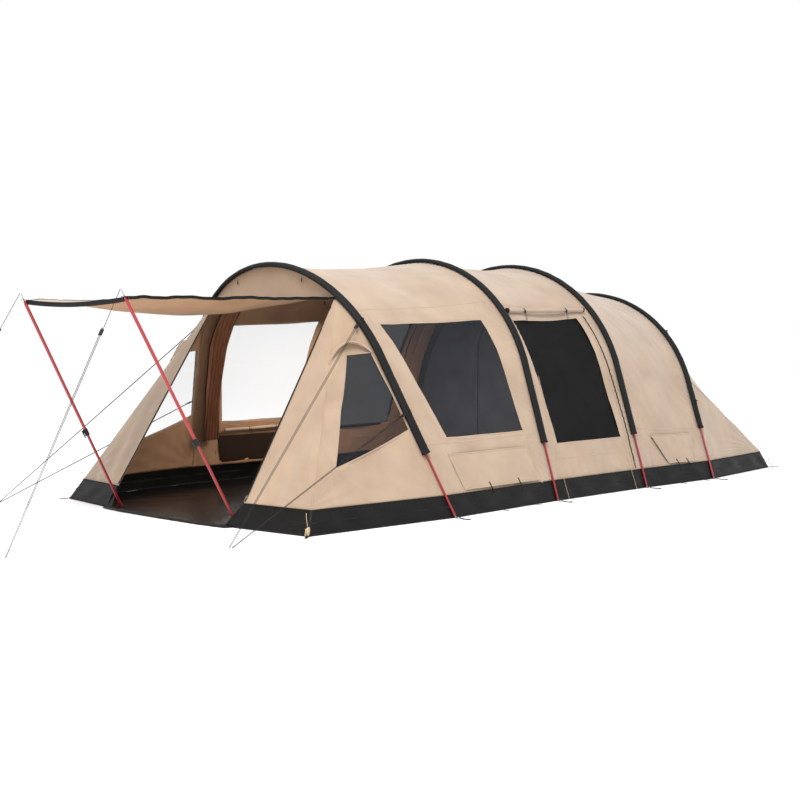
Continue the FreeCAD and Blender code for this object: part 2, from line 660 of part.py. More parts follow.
# ---------------------------------------------------------------- vent flaps
def flap(i, tl, tr, br, bl):
    """Cloth flap hanging from its top edge just outside the vent."""
    a, b = bay_pt(i, *tl, FLY_OFF), bay_pt(i, *tr, FLY_OFF)
    c, d = bay_pt(i, *br, FLY_OFF), bay_pt(i, *bl, FLY_OFF)
    n = unit((b - a).cross(d - a))
    if n.x < 0:
        n = n * -1.0
    a, b = a + n * 9, b + n * 9
    m = (c + d) * 0.5 + n * 10
    e = unit(b - a)
    down = unit(m - (a + b) * 0.5)
    down = unit(down - e * down.dot(e))
    nn = unit(e.cross(down))
    if nn.x < 0:
        nn = nn * -1.0
    lc, ld = (c - a).dot(e), (d - a).dot(e)
    hc = (m - (a + b) * 0.5).dot(down)
    pts = [a, b, a + e * lc + down * hc, a + e * ld + down * hc]
    s = plate(pts, nn, 2.0)
    print("FLAP", i + 1, "axis pos", (a.x + b.x) / 2, (a.y + b.y) / 2 + Y_SHIFT, (a.z + b.z) / 2, "dir", e, "down", down, "h", hc)
    return s


f1 = flap(0, (0.090, 0.17), (0.086, 0.83), (0.036, 0.86), (0.038, 0.19))
f3 = flap(2, (0.085, 0.25), (0.087, 0.84), (0.037, 0.80), (0.037, 0.40))
put("vent_flap_1_right", f1)
put("vent_flap_1_left", mirror(f1))
put("vent_flap_3_right", f3)
put("vent_flap_3_left", mirror(f3))

# ---------------------------------------------------------------- zips
jt = on(jamb_foot, jamb_top, 1640) + V(0, -2.8, 0)
jb = on(jamb_foot, jamb_top, 185) + V(0, -2.8, 0)
jd = unit(jt - jb)
jn = unit(jd.cross(V(1, 0, 0)))
if jn.y > 0:
    jn = jn * -1.0
jx = unit(jn.cross(jd))
if jx.x < 0:
    jx = jx * -1.0
tape = oriented(Part.makeBox(16, 1.6, (jt - jb).Length, V(1, 0, 0)), jb, jx, jn, jd)
zs_pt = jb + jd * 30
slider = oriented(Part.makeBox(10, 6, 24, V(4, 2.2, -12)), zs_pt, jx, jn, jd)
slider = slider.fuse(oriented(Part.makeBox(6, 2, 40, V(6, 8.2, -44)), zs_pt, jx, jn, jd))
print("JAMB slider", zs_pt.x, zs_pt.y + Y_SHIFT, zs_pt.z, "dir", jd, "travel", (jt - jb).Length - 70)
# side-door zip: straight stretch beside the third arch
sz = [bay_pt(1, u, 0.935, FLY_OFF) for u in (0.036, 0.17)]
sd = unit(sz[1] - sz[0])
sn = unit(sd.cross(V(0, 1, 0)))
if sn.x < 0:
    sn = sn * -1.0
sy = unit(sn.cross(sd))
stape = oriented(Part.makeBox(14, 1.6, (sz[1] - sz[0]).Length, V(-7, 2.6, 0)), sz[0], sy, sn, sd)
sp = sz[0] + sd * 40
sslider = oriented(Part.makeBox(10, 6, 24, V(-5, 4.8, -12)), sp, sy, sn, sd)
sslider = sslider.fuse(oriented(Part.makeBox(6, 2, 40, V(-3, 10.8, -10)), sp, sy, sn, sd))
print("SIDE slider", sp.x, sp.y + Y_SHIFT, sp.z, "dir", sd, "travel", (sz[1] - sz[0]).Length - 90)
put("zip_tapes", both([tape, stape]))
put("front_zip_slider_right", slider)
put("front_zip_slider_left", mirror(slider))
put("side_zip_slider_right", sslider)
put("side_zip_slider_left", mirror(sslider))

# ---------------------------------------------------------------- webbing, toggles
web = []


def arch_tab(i, u, w=52.0, h=40.0):
    p = arch_pt(i, u, SLEEVE_B + 0.4)
    q = arch_pt(i, u, SLEEVE_B + 20.4)
    n = unit(q - p)
    t = unit(arch_pt(i, u + 0.004, 0) - arch_pt(i, u - 0.004, 0))
    s = unit(n.cross(t))
    return oriented(Part.makeBox(w, h, 2.0, V(-w / 2, -h / 2, 0)), p, t, s, n), p, n


for i, u in ((0, 0.30), (0, 0.158), (3, 0.295), (3, 0.147)):
    web.append(arch_tab(i, u)[0])
for i in range(4):
    x = ARCH_W[i] / 2
    web.append(box(x + 30 + 24 + 38, ARCH_Y[i], 1.6, 76, 26, 2.2))
web.append(oriented(Part.makeBox(90, 26, 2.2, V(0, -13, 0)), V(RC.x + 8, RC.y + 10, 0.4),
                    unit(V(0.6, 0.8, 0)), unit(V(-0.8, 0.6, 0)), V(0, 0, 1)))
web.append(oriented(Part.makeBox(70, 24, 2.2, V(0, -12, 0)), V(FRONT_CORNER[0] + 6, FRONT_CORNER[1] - 14, 0.4),
                    unit(V(0.6, -0.8, 0)), unit(V(0.8, 0.6, 0)), V(0, 0, 1)))
for y in (600.0, 1050.0, 3250.0, 3630.0):
    k = y / 1373.0 if y < 1373 else (y - 2713.0) / 1087.0
    i = 0 if y < 1373 else 2
    xg = (ARCH_W[i] / 2) * (1 - k) + ARCH_W[i + 1] / 2 * k
    web.append(box(xg + 30, y, 1.6, 66, 12, 2.2))
put("webbing_tabs", both(web))

tog = []
for u in (0.425, 0.575):
    p = arch_pt(0, u, -45) + FRONT_N * 9
    tog.append(rod(p, p + V(0, 0, -34), 5))
for x in (-600, 600):
    tog.append(rod(V(x, top_y + 30, HEADER_Z - 30), V(x, top_y + 30, HEADER_Z - 64), 5))
for k in (0.2, 0.75):
    p = ra + (rb - ra) * k + out_n * (RR + 4)
    tog += both(rod(p + V(RR + 8, 0, -8), p + V(RR + 8, 0, -42), 5))
cx, cy = FRONT_CORNER[0] + 20, FRONT_CORNER[1] - 24
tog += both([rod(V(cx, cy, 6), V(cx, cy, 70), 6), rod(V(cx - 16, cy - 8, 6), V(cx - 16, cy - 8, 60), 5)])
put("toggles", tog)

# side-door tension cords: straight beside the wall's lower part
cords = []
for t, ua in ((0.11, 0.19), (0.868, 0.083)):
    a, b = bay_pt(1, ua, t, FLY_OFF + 16), bay_pt(1, 0.034, t, FLY_OFF + 16)
    g = bay_pt(1, 0.034, t, FLY_OFF + 16)
    foot_g = V(ARCH_W[1] / 2 * (1 - t) + ARCH_W[2] / 2 * t + 8, g.y, 4)
    cords += [rod(a, b, 1.6), rod(b + (foot_g - b) * 0.004, foot_g, 1.6)]
put("side_door_cords", both(cords))

# ---------------------------------------------------------------- guy lines and runners
GUY_R = 2.0


def hairpin(p, peg, runner_at):
    """Line from p down to the peg point, a small turn, and back up to the runner."""
    d = unit(peg - p)
    side = unit(d.cross(V(0, 0, 1)))
    L = (peg - p).Length
    e1 = p + d * (L - 12)
    e2 = e1 + side * 14
    mid_ = e1 + side * 7 + d * 7
    back = p + side * 14 + d * (runner_at - 16)
    path = Part.Wire([Part.makeLine(p, e1), Part.Arc(e1, mid_, e2).toShape(), Part.makeLine(e2, back)])
    prof = Part.Wire(Part.Circle(p, d, GUY_R).toShape())
    body = path.makePipeShell([prof], True, False)
    body = body.fuse(Part.makeSphere(4.2, back))
    nrm = unit(side.cross(d))
    c = p + d * runner_at + side * 7
    run = oriented(Part.makeBox(30, 46, 8, V(-15, -9, -4)), c, side, d, nrm)
    for sgn in (-7, 7):
        h = c + side * sgn
        run = run.cut(rod(h - d * 30, h + d * 60, GUY_R + 0.6))
    return body, run, c, d


jobs = []
tip = eye - pd * 50
jobs.append(("awning", tip + V(0, -9, 5), V(AWN_GUY_PEG[0], AWN_GUY_PEG[1], 5), 330.0))
for nm, u in (("upper", 0.30), ("lower", 0.158)):
    _, p, n = arch_tab(0, u)
    peg = V(SIDE_GUY_PEG[0] + (0 if nm == "upper" else 24), SIDE_GUY_PEG[1], 5)
    jobs.append((nm, p + n * 8 + FRONT_N * 8, peg, 60.0 if nm == "upper" else 45.0))
guys = {"guys_awning": [], "guys_arch": []}
for nm, p, peg, ra_ in jobs:
    g, r, c, d = hairpin(p, peg, ra_)
    guys["guys_awning" if nm == "awning" else "guys_arch"] += both(g)
    put("runner_%s_right" % nm, r)
    put("runner_%s_left" % nm, mirror(r))
    print("RUNNER", nm, c.x, c.y + Y_SHIFT, c.z, "dir", d, "length", (peg - p).Length)

for gn in guys:
    put(gn, guys[gn])

names = [n for n in EXTENT if not n.startswith(("guys_", "runner_"))]
lo = [min(EXTENT[n][k] for n in names) for k in range(3)]
hi = [max(EXTENT[n][k] for n in names) for k in range(3, 6)]
print("BOX without guys", [round(v, 1) for v in lo], [round(v, 1) for v in hi],
      "middle y", round((lo[1] + hi[1]) / 2, 2), "nodes", len(EXTENT))
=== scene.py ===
# %% [markdown]
# # A polycotton tunnel tent on four hoops
# The real tent is sewn cloth hung under four sprung hoops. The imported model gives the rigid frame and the
# joints, and this lesson makes every cloth panel, tape, cord and finish around it. The frame is loaded
# first, because each later piece takes its place from it and rides on one of its bodies.

# %% Load the frame and note its box
import math
import bmesh
import bpy
import numpy as np
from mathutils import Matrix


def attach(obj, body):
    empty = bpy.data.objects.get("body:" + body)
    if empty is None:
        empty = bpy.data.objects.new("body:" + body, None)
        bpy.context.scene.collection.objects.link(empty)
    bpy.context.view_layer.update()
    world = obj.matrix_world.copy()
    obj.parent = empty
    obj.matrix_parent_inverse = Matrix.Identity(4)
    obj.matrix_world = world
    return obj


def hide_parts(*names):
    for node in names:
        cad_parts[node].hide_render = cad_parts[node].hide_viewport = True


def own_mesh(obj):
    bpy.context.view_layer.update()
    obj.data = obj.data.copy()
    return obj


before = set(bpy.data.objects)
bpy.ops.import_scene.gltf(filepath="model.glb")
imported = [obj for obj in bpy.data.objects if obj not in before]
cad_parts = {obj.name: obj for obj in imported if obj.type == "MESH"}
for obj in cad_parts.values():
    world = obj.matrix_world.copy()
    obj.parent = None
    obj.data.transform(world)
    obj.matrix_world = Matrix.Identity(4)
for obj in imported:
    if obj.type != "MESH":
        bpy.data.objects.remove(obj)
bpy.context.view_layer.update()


# %% [markdown]
# ## The camera
# A camera is a place, two angles and a focal length. It stands at eye height, off the front right corner,
# so that the porch, the raised door and the long right side all show. It comes before the cords, because
# the room that a cord may take depends on what the camera sees.

# %% Camera
camera = bpy.data.objects.new("camera", bpy.data.cameras.new("camera"))
bpy.context.scene.collection.objects.link(camera)
camera.location = (8.1026, -8.8820, 1.4100)
camera.rotation_euler = (math.pi / 2 - 0.05054, 0.0, 0.75856)
camera.data.sensor_width, camera.data.lens = 36.0, 57.29
camera.data.clip_start, camera.data.clip_end = 0.1, 200.0
bpy.context.scene.camera = camera

# %% [markdown]
# ## From numbers to a mesh
# Every cloth here is a grid of points worked out at once with numpy. One function turns grids into a
# mesh: it makes the faces, gives each corner a UV in metres measured along the cloth, merges what meets,
# and turns the faces so that they look away from a given point. Real sizes in the UV let a weave keep its
# scale.

# %% Mesh from grids of points
TENT_MIDDLE = (0.0, 0.3, 0.7)      # a point inside the tent that outer cloth faces away from


def metres(grid):
    """UV in metres: distance walked down each column, and along each row, of the grid."""
    down = np.linalg.norm(np.diff(grid, axis=0), axis=-1).cumsum(0)
    along = np.linalg.norm(np.diff(grid, axis=1), axis=-1).cumsum(1)
    return np.stack([np.pad(down, ((1, 0), (0, 0))), np.pad(along, ((0, 0), (1, 0)))], -1)


def mesh_piece(name, grids, finishes, away=TENT_MIDDLE, thick=0.0, smooth=True):
    """A mesh from grids of points; a grid is an array or (array, which faces to keep).
    Faces are the grid's cells, and thick gives the cloth a wall on its inner side."""
    verts, faces, uvs, base = [], [], [], 0
    for item in grids:
        grid, keep = item if isinstance(item, tuple) else (item, None)
        grid = np.asarray(grid, float)
        n, m = grid.shape[:2]
        ids = np.arange(n * m).reshape(n, m)
        quads = np.stack([ids[:-1, :-1], ids[:-1, 1:], ids[1:, 1:], ids[1:, :-1]], -1)
        quads = quads.reshape(-1, 4) if keep is None else quads[keep]
        flat = grid.reshape(-1, 3)
        if away is not None:
            a, b, d = (flat[quads[:, k]] for k in (0, 1, 3))
            normal = np.cross(b - a, d - a)
            if (normal * (a - np.array(away))).sum() < 0:
                quads = quads[:, ::-1]
        verts.append(flat)
        faces.append(quads + base)
        uvs.append(metres(grid).reshape(-1, 2)[quads.ravel()])
        base += n * m
    verts, faces, uvs = np.concatenate(verts), np.concatenate(faces), np.concatenate(uvs)
    used, where = np.unique(faces, return_inverse=True)
    data = bpy.data.meshes.new(name)
    data.vertices.add(len(used))
    data.vertices.foreach_set("co", verts[used].ravel())
    data.loops.add(faces.size)
    data.loops.foreach_set("vertex_index", where.ravel().astype(np.int32))
    data.polygons.add(len(faces))
    data.polygons.foreach_set("loop_start", np.arange(len(faces), dtype=np.int32) * 4)
    data.update(calc_edges=True)
    data.uv_layers.new(name="metres").data.foreach_set("uv", uvs.ravel())
    bm = bmesh.new()
    bm.from_mesh(data)
    bmesh.ops.remove_doubles(bm, verts=bm.verts, dist=2e-5)
    bmesh.ops.dissolve_degenerate(bm, edges=bm.edges, dist=1e-6)
    bm.to_mesh(data)
    bm.free()
    data.polygons.foreach_set("use_smooth", np.full(len(data.polygons), smooth))
    piece = bpy.data.objects.new(name, data)
    bpy.context.scene.collection.objects.link(piece)
    for m in finishes if isinstance(finishes, (list, tuple)) else [finishes]:
        data.materials.append(m)
    if thick:
        wall = piece.modifiers.new("wall", "SOLIDIFY")
        wall.thickness, wall.offset = thick, -1.0
        wall.material_offset = 1 if len(data.materials) > 1 else 0
    return piece


SIDES = {"right": 1, "left": -1}


def mirror(grid, side=-1):
    """The grid on the tent's right (1), or on its left (-1), where x becomes -x."""
    return grid * np.array([side, 1.0, 1.0])


def both(grids):
    """Each grid followed by its mirror image."""
    return [mirror(grid, side) for grid in grids for side in SIDES.values()]


# %% [markdown]
# ## Profiles carried along paths
# Tapes, hems, cords and rolls are all one small outline carried along a line. At each point of the line,
# across is the tangent crossed with an up direction, and the outline is drawn in those two directions.

# %% Carry a profile along a path
def unit(v):
    """A vector, or an array of them, scaled to length one."""
    v = np.asarray(v, float)
    return v / np.maximum(np.linalg.norm(v, axis=-1, keepdims=True), 1e-12)


def carried(path, profile, up, caps=True):
    """Grid = path + across * x + raised * y, with across = tangent x up; caps close both ends to a point."""
    path = np.asarray(path, float)
    tangent = unit(np.gradient(path, axis=0))
    across = unit(np.cross(tangent, np.broadcast_to(up, path.shape)))
    raised = np.cross(across, tangent)
    profile = np.broadcast_to(profile, (len(path),) + np.shape(profile)[-2:])
    grid = path[:, None] + across[:, None] * profile[..., :1] + raised[:, None] * profile[..., 1:]
    if caps:
        first, last = grid[:1].mean(1, keepdims=True), grid[-1:].mean(1, keepdims=True)
        width = grid.shape[1]
        grid = np.concatenate([np.repeat(first, width, 1), grid, np.repeat(last, width, 1)])
    return grid


def round_bar(radius, sides=10):
    """Closed circle outline: radius * (cos a, sin a)."""
    a = np.linspace(0, 2 * np.pi, sides + 1)
    return radius * np.stack([np.cos(a), np.sin(a)], -1)


def tape(width, thick):
    """Closed flat outline with softened edges: a squashed circle raised to a power."""
    a = np.linspace(0, 2 * np.pi, 13)
    c, s = np.cos(a), np.sin(a)
    across, up = np.sign(c) * np.abs(c) ** 0.4, np.sign(s) * np.abs(s) ** 0.6
    return np.stack([width / 2 * across, thick / 2 * up], -1)


def line(points, step=0.02):
    """Straight runs through the points, divided so that no step is longer than step."""
    points = np.asarray(points, float)
    runs = [np.linspace(p, q, max(2, int(np.linalg.norm(q - p) / step) + 1), endpoint=False)
            for p, q in zip(points[:-1], points[1:])]
    return np.concatenate(runs + [points[-1:]])


# %% [markdown]
# ## Finishes
# A finish starts from what the thing is made of. Colours are sRGB hex values turned to linear light by
# one function, and one small function adds a node with its settings and links. Cloth gets a weave from
# two crossing waves in UV metres, a slow cloud of lighter and darker yarn, and a little sheen from loose
# fibre ends.

# %% Colour and node helpers
def linear(code):
    """sRGB hex to linear RGBA: below 0.04045 divide by 12.92, above it a 2.4 power."""
    c = np.array([int(code[k:k + 2], 16) for k in (0, 2, 4)]) / 255
    return (*np.where(c <= 0.04045, c / 12.92, ((c + 0.055) / 1.055) ** 2.4).tolist(), 1.0)


def node(tree, kind, links=(), values=(), **settings):
    """One node of a kind, with settings as properties, values on its sockets, links from other sockets."""
    n = tree.nodes.new(kind)
    for key, value in settings.items():
        setattr(n, key, value)
    for socket, value in dict(values).items():
        n.inputs[socket].default_value = value
    for socket, source in dict(links).items():
        tree.links.new(source, n.inputs[socket])
    return n


def blank(name, **sockets):
    """A new material with only a Principled shader; sockets are set on it directly."""
    material = bpy.data.materials.new(name)
    material.use_nodes = True
    tree = material.node_tree
    tree.nodes.clear()
    shader = node(tree, "ShaderNodeBsdfPrincipled",
                  values={k.replace("_", " "): v for k, v in sockets.items()})
    node(tree, "ShaderNodeOutputMaterial", {"Surface": shader.outputs[0]})
    return material, tree, shader


def clouded(tree, shader, coords, dark, light, size, detail=4.0):
    """Base colour from noise clouds of the given size in metres, between two hex colours."""
    noise = node(tree, "ShaderNodeTexNoise", {"Vector": coords}, {"Scale": 1 / size, "Detail": detail})
    ramp = node(tree, "ShaderNodeValToRGB", {"Fac": noise.outputs[0]})
    ramp.color_ramp.elements[0].position, ramp.color_ramp.elements[1].position = 0.32, 0.68
    ramp.color_ramp.elements[0].color, ramp.color_ramp.elements[1].color = linear(dark), linear(light)
    tree.links.new(ramp.outputs[0], shader.inputs["Base Color"])
    return ramp


def woven(name, dark, light, thread, depth, **sockets):
    """Woven cloth: clouds of yarn colour, and a bump of two crossing sine waves one thread apart."""
    material, tree, shader = blank(name, **sockets)
    uv = node(tree, "ShaderNodeUVMap", uv_map="metres").outputs[0]
    ramp = clouded(tree, shader, uv, dark, light, 0.35)
    settings = {"Scale": 2 * math.pi / thread / 20, "Distortion": 0.6, "Detail": 1.0}
    waves = [node(tree, "ShaderNodeTexWave", {"Vector": uv}, settings, bands_direction=way).outputs[1]
             for way in "XY"]
    both = node(tree, "ShaderNodeMath", {0: waves[0], 1: waves[1]}, operation="MAXIMUM").outputs[0]
    slub = node(tree, "ShaderNodeTexNoise", {"Vector": uv},
                {"Scale": 0.25 / thread, "Detail": 2.0}).outputs[0]
    height = node(tree, "ShaderNodeMath", {0: both, 1: slub}, operation="ADD").outputs[0]
    bump = node(tree, "ShaderNodeBump", {"Height": height}, {"Strength": 0.35, "Distance": depth})
    tree.links.new(bump.outputs[0], shader.inputs["Normal"])
    # The base colour follows the weave's height: painted shade in its valleys and a slight painted highlight on
    # its crossings.
    shade = node(tree, "ShaderNodeMapRange", {"Value": both},
                 {"From Min": 0.0, "From Max": 1.0, "To Min": 0.90, "To Max": 1.04}).outputs[0]
    toned = node(tree, "ShaderNodeVectorMath", {0: ramp.outputs[0], "Scale": shade}, operation="SCALE")
    tree.links.new(toned.outputs[0], shader.inputs["Base Color"])
    return material


def cast(name, dark, light, size, grain, depth, **sockets):
    """Hard or braided finish: clouds of colour and a fine noise bump, both on Object coordinates."""
    material, tree, shader = blank(name, **sockets)
    place = node(tree, "ShaderNodeTexCoord").outputs["Object"]
    clouded(tree, shader, place, dark, light, size)
    noise = node(tree, "ShaderNodeTexNoise", {"Vector": place},
                 {"Scale": 1 / grain, "Detail": 3.0}).outputs[0]
    bump = node(tree, "ShaderNodeBump", {"Height": noise}, {"Strength": 0.3, "Distance": depth})
    tree.links.new(bump.outputs[0], shader.inputs["Normal"])
    return material


# %% [markdown]
# ## The cloths
# Polycotton is a matt plain weave of cotton and polyester, sand coloured. Its inner face gets a darker,
# warmer brown copy of the same cloth: painted shade, and painted glow of light coming through it from
# behind. Its yarn is 0.4 mm, too fine to show on a whole tent, so the weave is drawn at 5 mm. The sleeves,
# the inner tent and the webbing are polyester, tighter and a little shinier.

# %% Cloth finishes
sand = woven("polycotton_canvas_sand", "998068", "A99077", 0.005, 0.0006, Roughness=0.92, Sheen_Weight=0.4,
             Sheen_Roughness=0.6)
# The inner face's brown is painted shade and painted glow of light through the canvas, not a colour of the
# cloth.
inside_painted_shade_glow = woven("polycotton_inside_painted_shade_glow", "A07B5E", "AF8969", 0.005, 0.0006, Roughness=0.95)
sleeve_black = woven("polyester_sleeve_black", "0A0B0A", "141514", 0.006, 0.0008, Roughness=0.7,
                     Specular_IOR_Level=0.25)
inner_cloth = woven("breathable_polyester_anthracite", "30323A", "40434D", 0.006, 0.0005, Roughness=0.7,
                    Specular_IOR_Level=0.3, Sheen_Weight=0.1)
webbing = woven("polyester_webbing_black", "0C0C0B", "181714", 0.003, 0.0008, Roughness=0.65,
                Specular_IOR_Level=0.25)
cord_finish = cast("braided_guy_cord", "0B0A09", "211F1B", 0.010, 0.003, 0.0004, Roughness=0.7,
                   Specular_IOR_Level=0.25)
eyelet_webbing = cast("eyelet_webbing_black", "0C0C0B", "1B1A17", 0.012, 0.003, 0.0003, Roughness=0.65,
                      Specular_IOR_Level=0.25)

# %% [markdown]
# ## Coated and hard finishes
# The mudwall is a polyethylene-coated weave and the ground sheet a laminated film: black, slightly
# glossy, creased. The hoops and porch poles are aluminium tube with baked red enamel, the clamps moulded
# nylon with a fine grain, and pins and spikes zinc-plated steel.

# %% Coated cloth and hard finishes
mudwall = woven("coated_mudwall_black", "060605", "0E0D0C", 0.008, 0.0008, Roughness=0.5,
                Specular_IOR_Level=0.2)
ground_film = cast("laminated_groundsheet_dark", "0A0A0B", "17171A", 0.30, 0.045, 0.0120, Roughness=0.27)
red_enamel = cast("baked_enamel_red_aluminium", "7E141C", "951A23", 0.25, 0.004, 0.0001, Roughness=0.34,
                  Metallic=0.0, Coat_Weight=0.35, Coat_Roughness=0.2)
nylon = cast("moulded_nylon_black", "0B0B0B", "161615", 0.03, 0.002, 0.0002, Roughness=0.48,
             Specular_IOR_Level=0.35)
zinc = cast("zinc_plated_steel", "8D8D8A", "B4B3AE", 0.02, 0.003, 0.0001, Roughness=0.38, Metallic=1.0)
curtain_brown = woven("polyester_curtain_brown", "86573C", "9B6B4B", 0.005, 0.0008, Roughness=0.85)
curtain_binding = woven("polyester_binding_brown", "2A1A12", "3C271B", 0.005, 0.0008, Roughness=0.8)
elastic_beige = cast("elastic_cord_beige", "A58E6C", "C4AE8A", 0.010, 0.003, 0.0003, Roughness=0.8)
toggle_beige = cast("turned_wood_toggle_beige", "A58E6C", "C4AE8A", 0.02, 0.003, 0.0002, Roughness=0.6)

# %% [markdown]
# ## Clear film and netting
# The windows are thin clear PVC that has been folded: it is see-through, with a faint grey tint and slow
# ripples. The panes on the tent's right side get a darker grey film than those on the left: painted shade
# for the shaded inside seen through them. The doors and vents are netting with a 1.5 mm mesh, drawn at
# 6 mm. From outside it reads almost black.

# %% Film and net finishes
def film(name, colour, alpha):
    """Clear PVC: low alpha, smooth, with ripples from a stretched noise."""
    material, tree, shader = blank(name, Roughness=0.12, Alpha=alpha, Base_Color=linear(colour))
    uv = node(tree, "ShaderNodeUVMap", uv_map="metres").outputs[0]
    noise = node(tree, "ShaderNodeTexNoise", {"Vector": uv},
                 {"Scale": 3.0, "Detail": 2.0, "Distortion": 0.4}).outputs[0]
    bump = node(tree, "ShaderNodeBump", {"Height": noise}, {"Strength": 0.15, "Distance": 0.015})
    tree.links.new(bump.outputs[0], shader.inputs["Normal"])
    return material


def netting(name, colour, hole, solid_share):
    """Net: two crossing waves, opaque where either is high, and thin elsewhere."""
    material, tree, shader = blank(name, Roughness=0.8, Specular_IOR_Level=0.2, Base_Color=linear(colour))
    uv = node(tree, "ShaderNodeUVMap", uv_map="metres").outputs[0]
    waves = [node(tree, "ShaderNodeTexWave", {"Vector": uv}, {"Scale": 2 * math.pi / hole / 20},
             bands_direction=way).outputs[1] for way in "XY"]
    both = node(tree, "ShaderNodeMath", {0: waves[0], 1: waves[1]}, operation="MAXIMUM").outputs[0]
    alpha = node(tree, "ShaderNodeMapRange", {"Value": both}, {"From Min": 0.70, "From Max": 0.95,
                 "To Min": solid_share, "To Max": 1.0}).outputs[0]
    tree.links.new(alpha, shader.inputs["Alpha"])
    return material


film_clear = film("clear_pvc_film", "C9CCD2", 0.10)
# The right side's panes get a dark grey film: painted shade for the shaded inside seen through them; the left
# side's panes keep the clear film.
film_painted_shade = film("pvc_film_painted_shade", "34373F", 0.14)
films = {"right": film_painted_shade, "left": film_clear}
net_black = netting("mosquito_netting_black", "0B0B0C", 0.006, 0.66)
net_brown = netting("mosquito_netting_brown", "33251E", 0.006, 0.60)

# %% [markdown]
# ## The hoops' own curve
# Each hoop is two straight legs that lean inwards and one arc between them, in a plane that may lean.
# With half width w/2, leg lean a and height h, the arc's centre height is (h - w/2 cos a) / (1 - sin a).
# u runs round the hoop from 0 at the right foot to 1 at the left foot.

# %% Hoop sizes and the hoop curve
MIDDLE = -1.4764                                  # puts the origin in the middle of the footprint
HOOP_WIDTH, HOOP_HEIGHT = [3.362, 3.290, 3.350, 3.500], [1.994, 2.100, 2.097, 1.848]
HOOP_Y, HOOP_LEAN = [0.0, 1.373, 2.713, 3.800], [-0.460, 0.0, 0.0, 0.301]
LEG_ANGLE = np.radians([22.6, 17.47, 17.13, 22.4])
CLOTH_OFF = -0.0126                               # the cloth lies this far inside the pole's centre line
SKIRT_TOP = 0.165


def hoop(i, u, off=0.0):
    """Point of hoop i at u, moved off outwards: a leg while the walked length is short, then the arc."""
    w, h, lean, a = HOOP_WIDTH[i], HOOP_HEIGHT[i], HOOP_LEAN[i], LEG_ANGLE[i]
    slant = math.hypot(h, lean)
    centre = (slant - w / 2 * np.cos(a)) / (1 - np.sin(a))
    r = slant - centre
    leg = np.hypot(w / 2 - r * np.cos(a), centre + r * np.sin(a))
    total = 2 * (leg + r * (np.pi / 2 - a))
    u, off = np.broadcast_arrays(np.asarray(u, float), np.asarray(off, float))
    walked = np.minimum(u, 1 - u) * total
    k, turn = walked / leg, a + (walked - leg) / r
    x = np.where(k < 1, w / 2 + (r * np.cos(a) - w / 2) * k + off * np.cos(a), (r + off) * np.cos(turn))
    v = np.where(k < 1, (centre + r * np.sin(a)) * k + off * np.sin(a), centre + (r + off) * np.sin(turn))
    return np.stack([np.where(u <= 0.5, x, -x), HOOP_Y[i] + MIDDLE + v * lean / slant, v * h / slant], -1)


def hoop_u(i, z, off=CLOTH_OFF):
    """u at which the hoop's right side reaches height z."""
    us = np.linspace(0, 0.5, 2000)
    return np.interp(z, hoop(i, us, off)[:, 2], us)


def mix(a, b, k):
    """a at k = 0, b at k = 1."""
    k = np.asarray(k, float)[..., None]
    return a * (1 - k) + b * k


def patch(top_left, top_right, foot_left, foot_right, rows, cols):
    """Flat grid between four corners: a mix along the top and the foot, then a mix down."""
    r, c = np.linspace(0, 1, rows)[:, None], np.linspace(0, 1, cols)[None]
    return mix(mix(top_left, top_right, c), mix(foot_left, foot_right, c), r)


def bay(i, u, t, off=CLOTH_OFF):
    """Cloth between hoops i and i+1: straight, less a saddle sag of (8 + 34 sin^2 pi u) sin pi t mm."""
    sag = (0.008 + 0.034 * np.sin(np.pi * u) ** 2) * np.sin(np.pi * np.clip(t, 0, 1))
    return mix(hoop(i, u, off - sag), hoop(i + 1, u, off - sag), t)


print("hoop tops", [hoop(i, 0.5).round(3).tolist() for i in range(4)])

# %% [markdown]
# ## Wrinkles
# Sewn cloth is never flat. Long soft ripples come from uneven pull, short pleats gather along a seam and
# fade away from it, and fans of creases run out of a pegged corner. Each is a small sum or product of
# sines, from a seeded random generator so that it is the same every time.

# %% Ripples, pleats and fans
def ripples(a, b, seed, length, height, count=9):
    """Mean of sine waves in random directions over the plane (a, b), about length long and height high."""
    rng = np.random.default_rng(seed)
    total = 0.0
    for way, phase, size in zip(*rng.uniform([[0], [0], [0.7]], [[np.pi], [2 * np.pi], [1.5]], (3, count))):
        total = total + np.sin(2 * np.pi * (a * np.cos(way) + b * np.sin(way)) / (length * size) + phase)
    return height * total / math.sqrt(count)


def pleats(away, along, pitch, reach, height, seed=1):
    """Gathers across a seam: a sine along it, with a wandering pitch, times exp(-distance / reach)."""
    wander = ripples(along, away * 0.3, seed, pitch * 7, 1.5)
    return height * np.exp(-np.abs(away) / reach) * np.sin(2 * np.pi * along / pitch + wander)


def fan(a, b, centre, count, reach, height):
    """Creases out of a corner: sine of the angle about it, times a bump of the distance from it."""
    da, db = a - centre[0], b - centre[1]
    far = np.hypot(da, db) / reach
    return height * far * np.exp(1 - far) * np.sin(count * np.arctan2(db, da)) * (far < 6)


# %% [markdown]
# ## Panels with windows in them
# A panel with openings is drawn on a net: a few control points in (u, t) whose rows and columns pass
# through every window corner. The grid follows the net, so an opening is simply the cells of some blocks
# left out, with clean edges, and the pane or netting is the same cells put back a few millimetres further
# in.

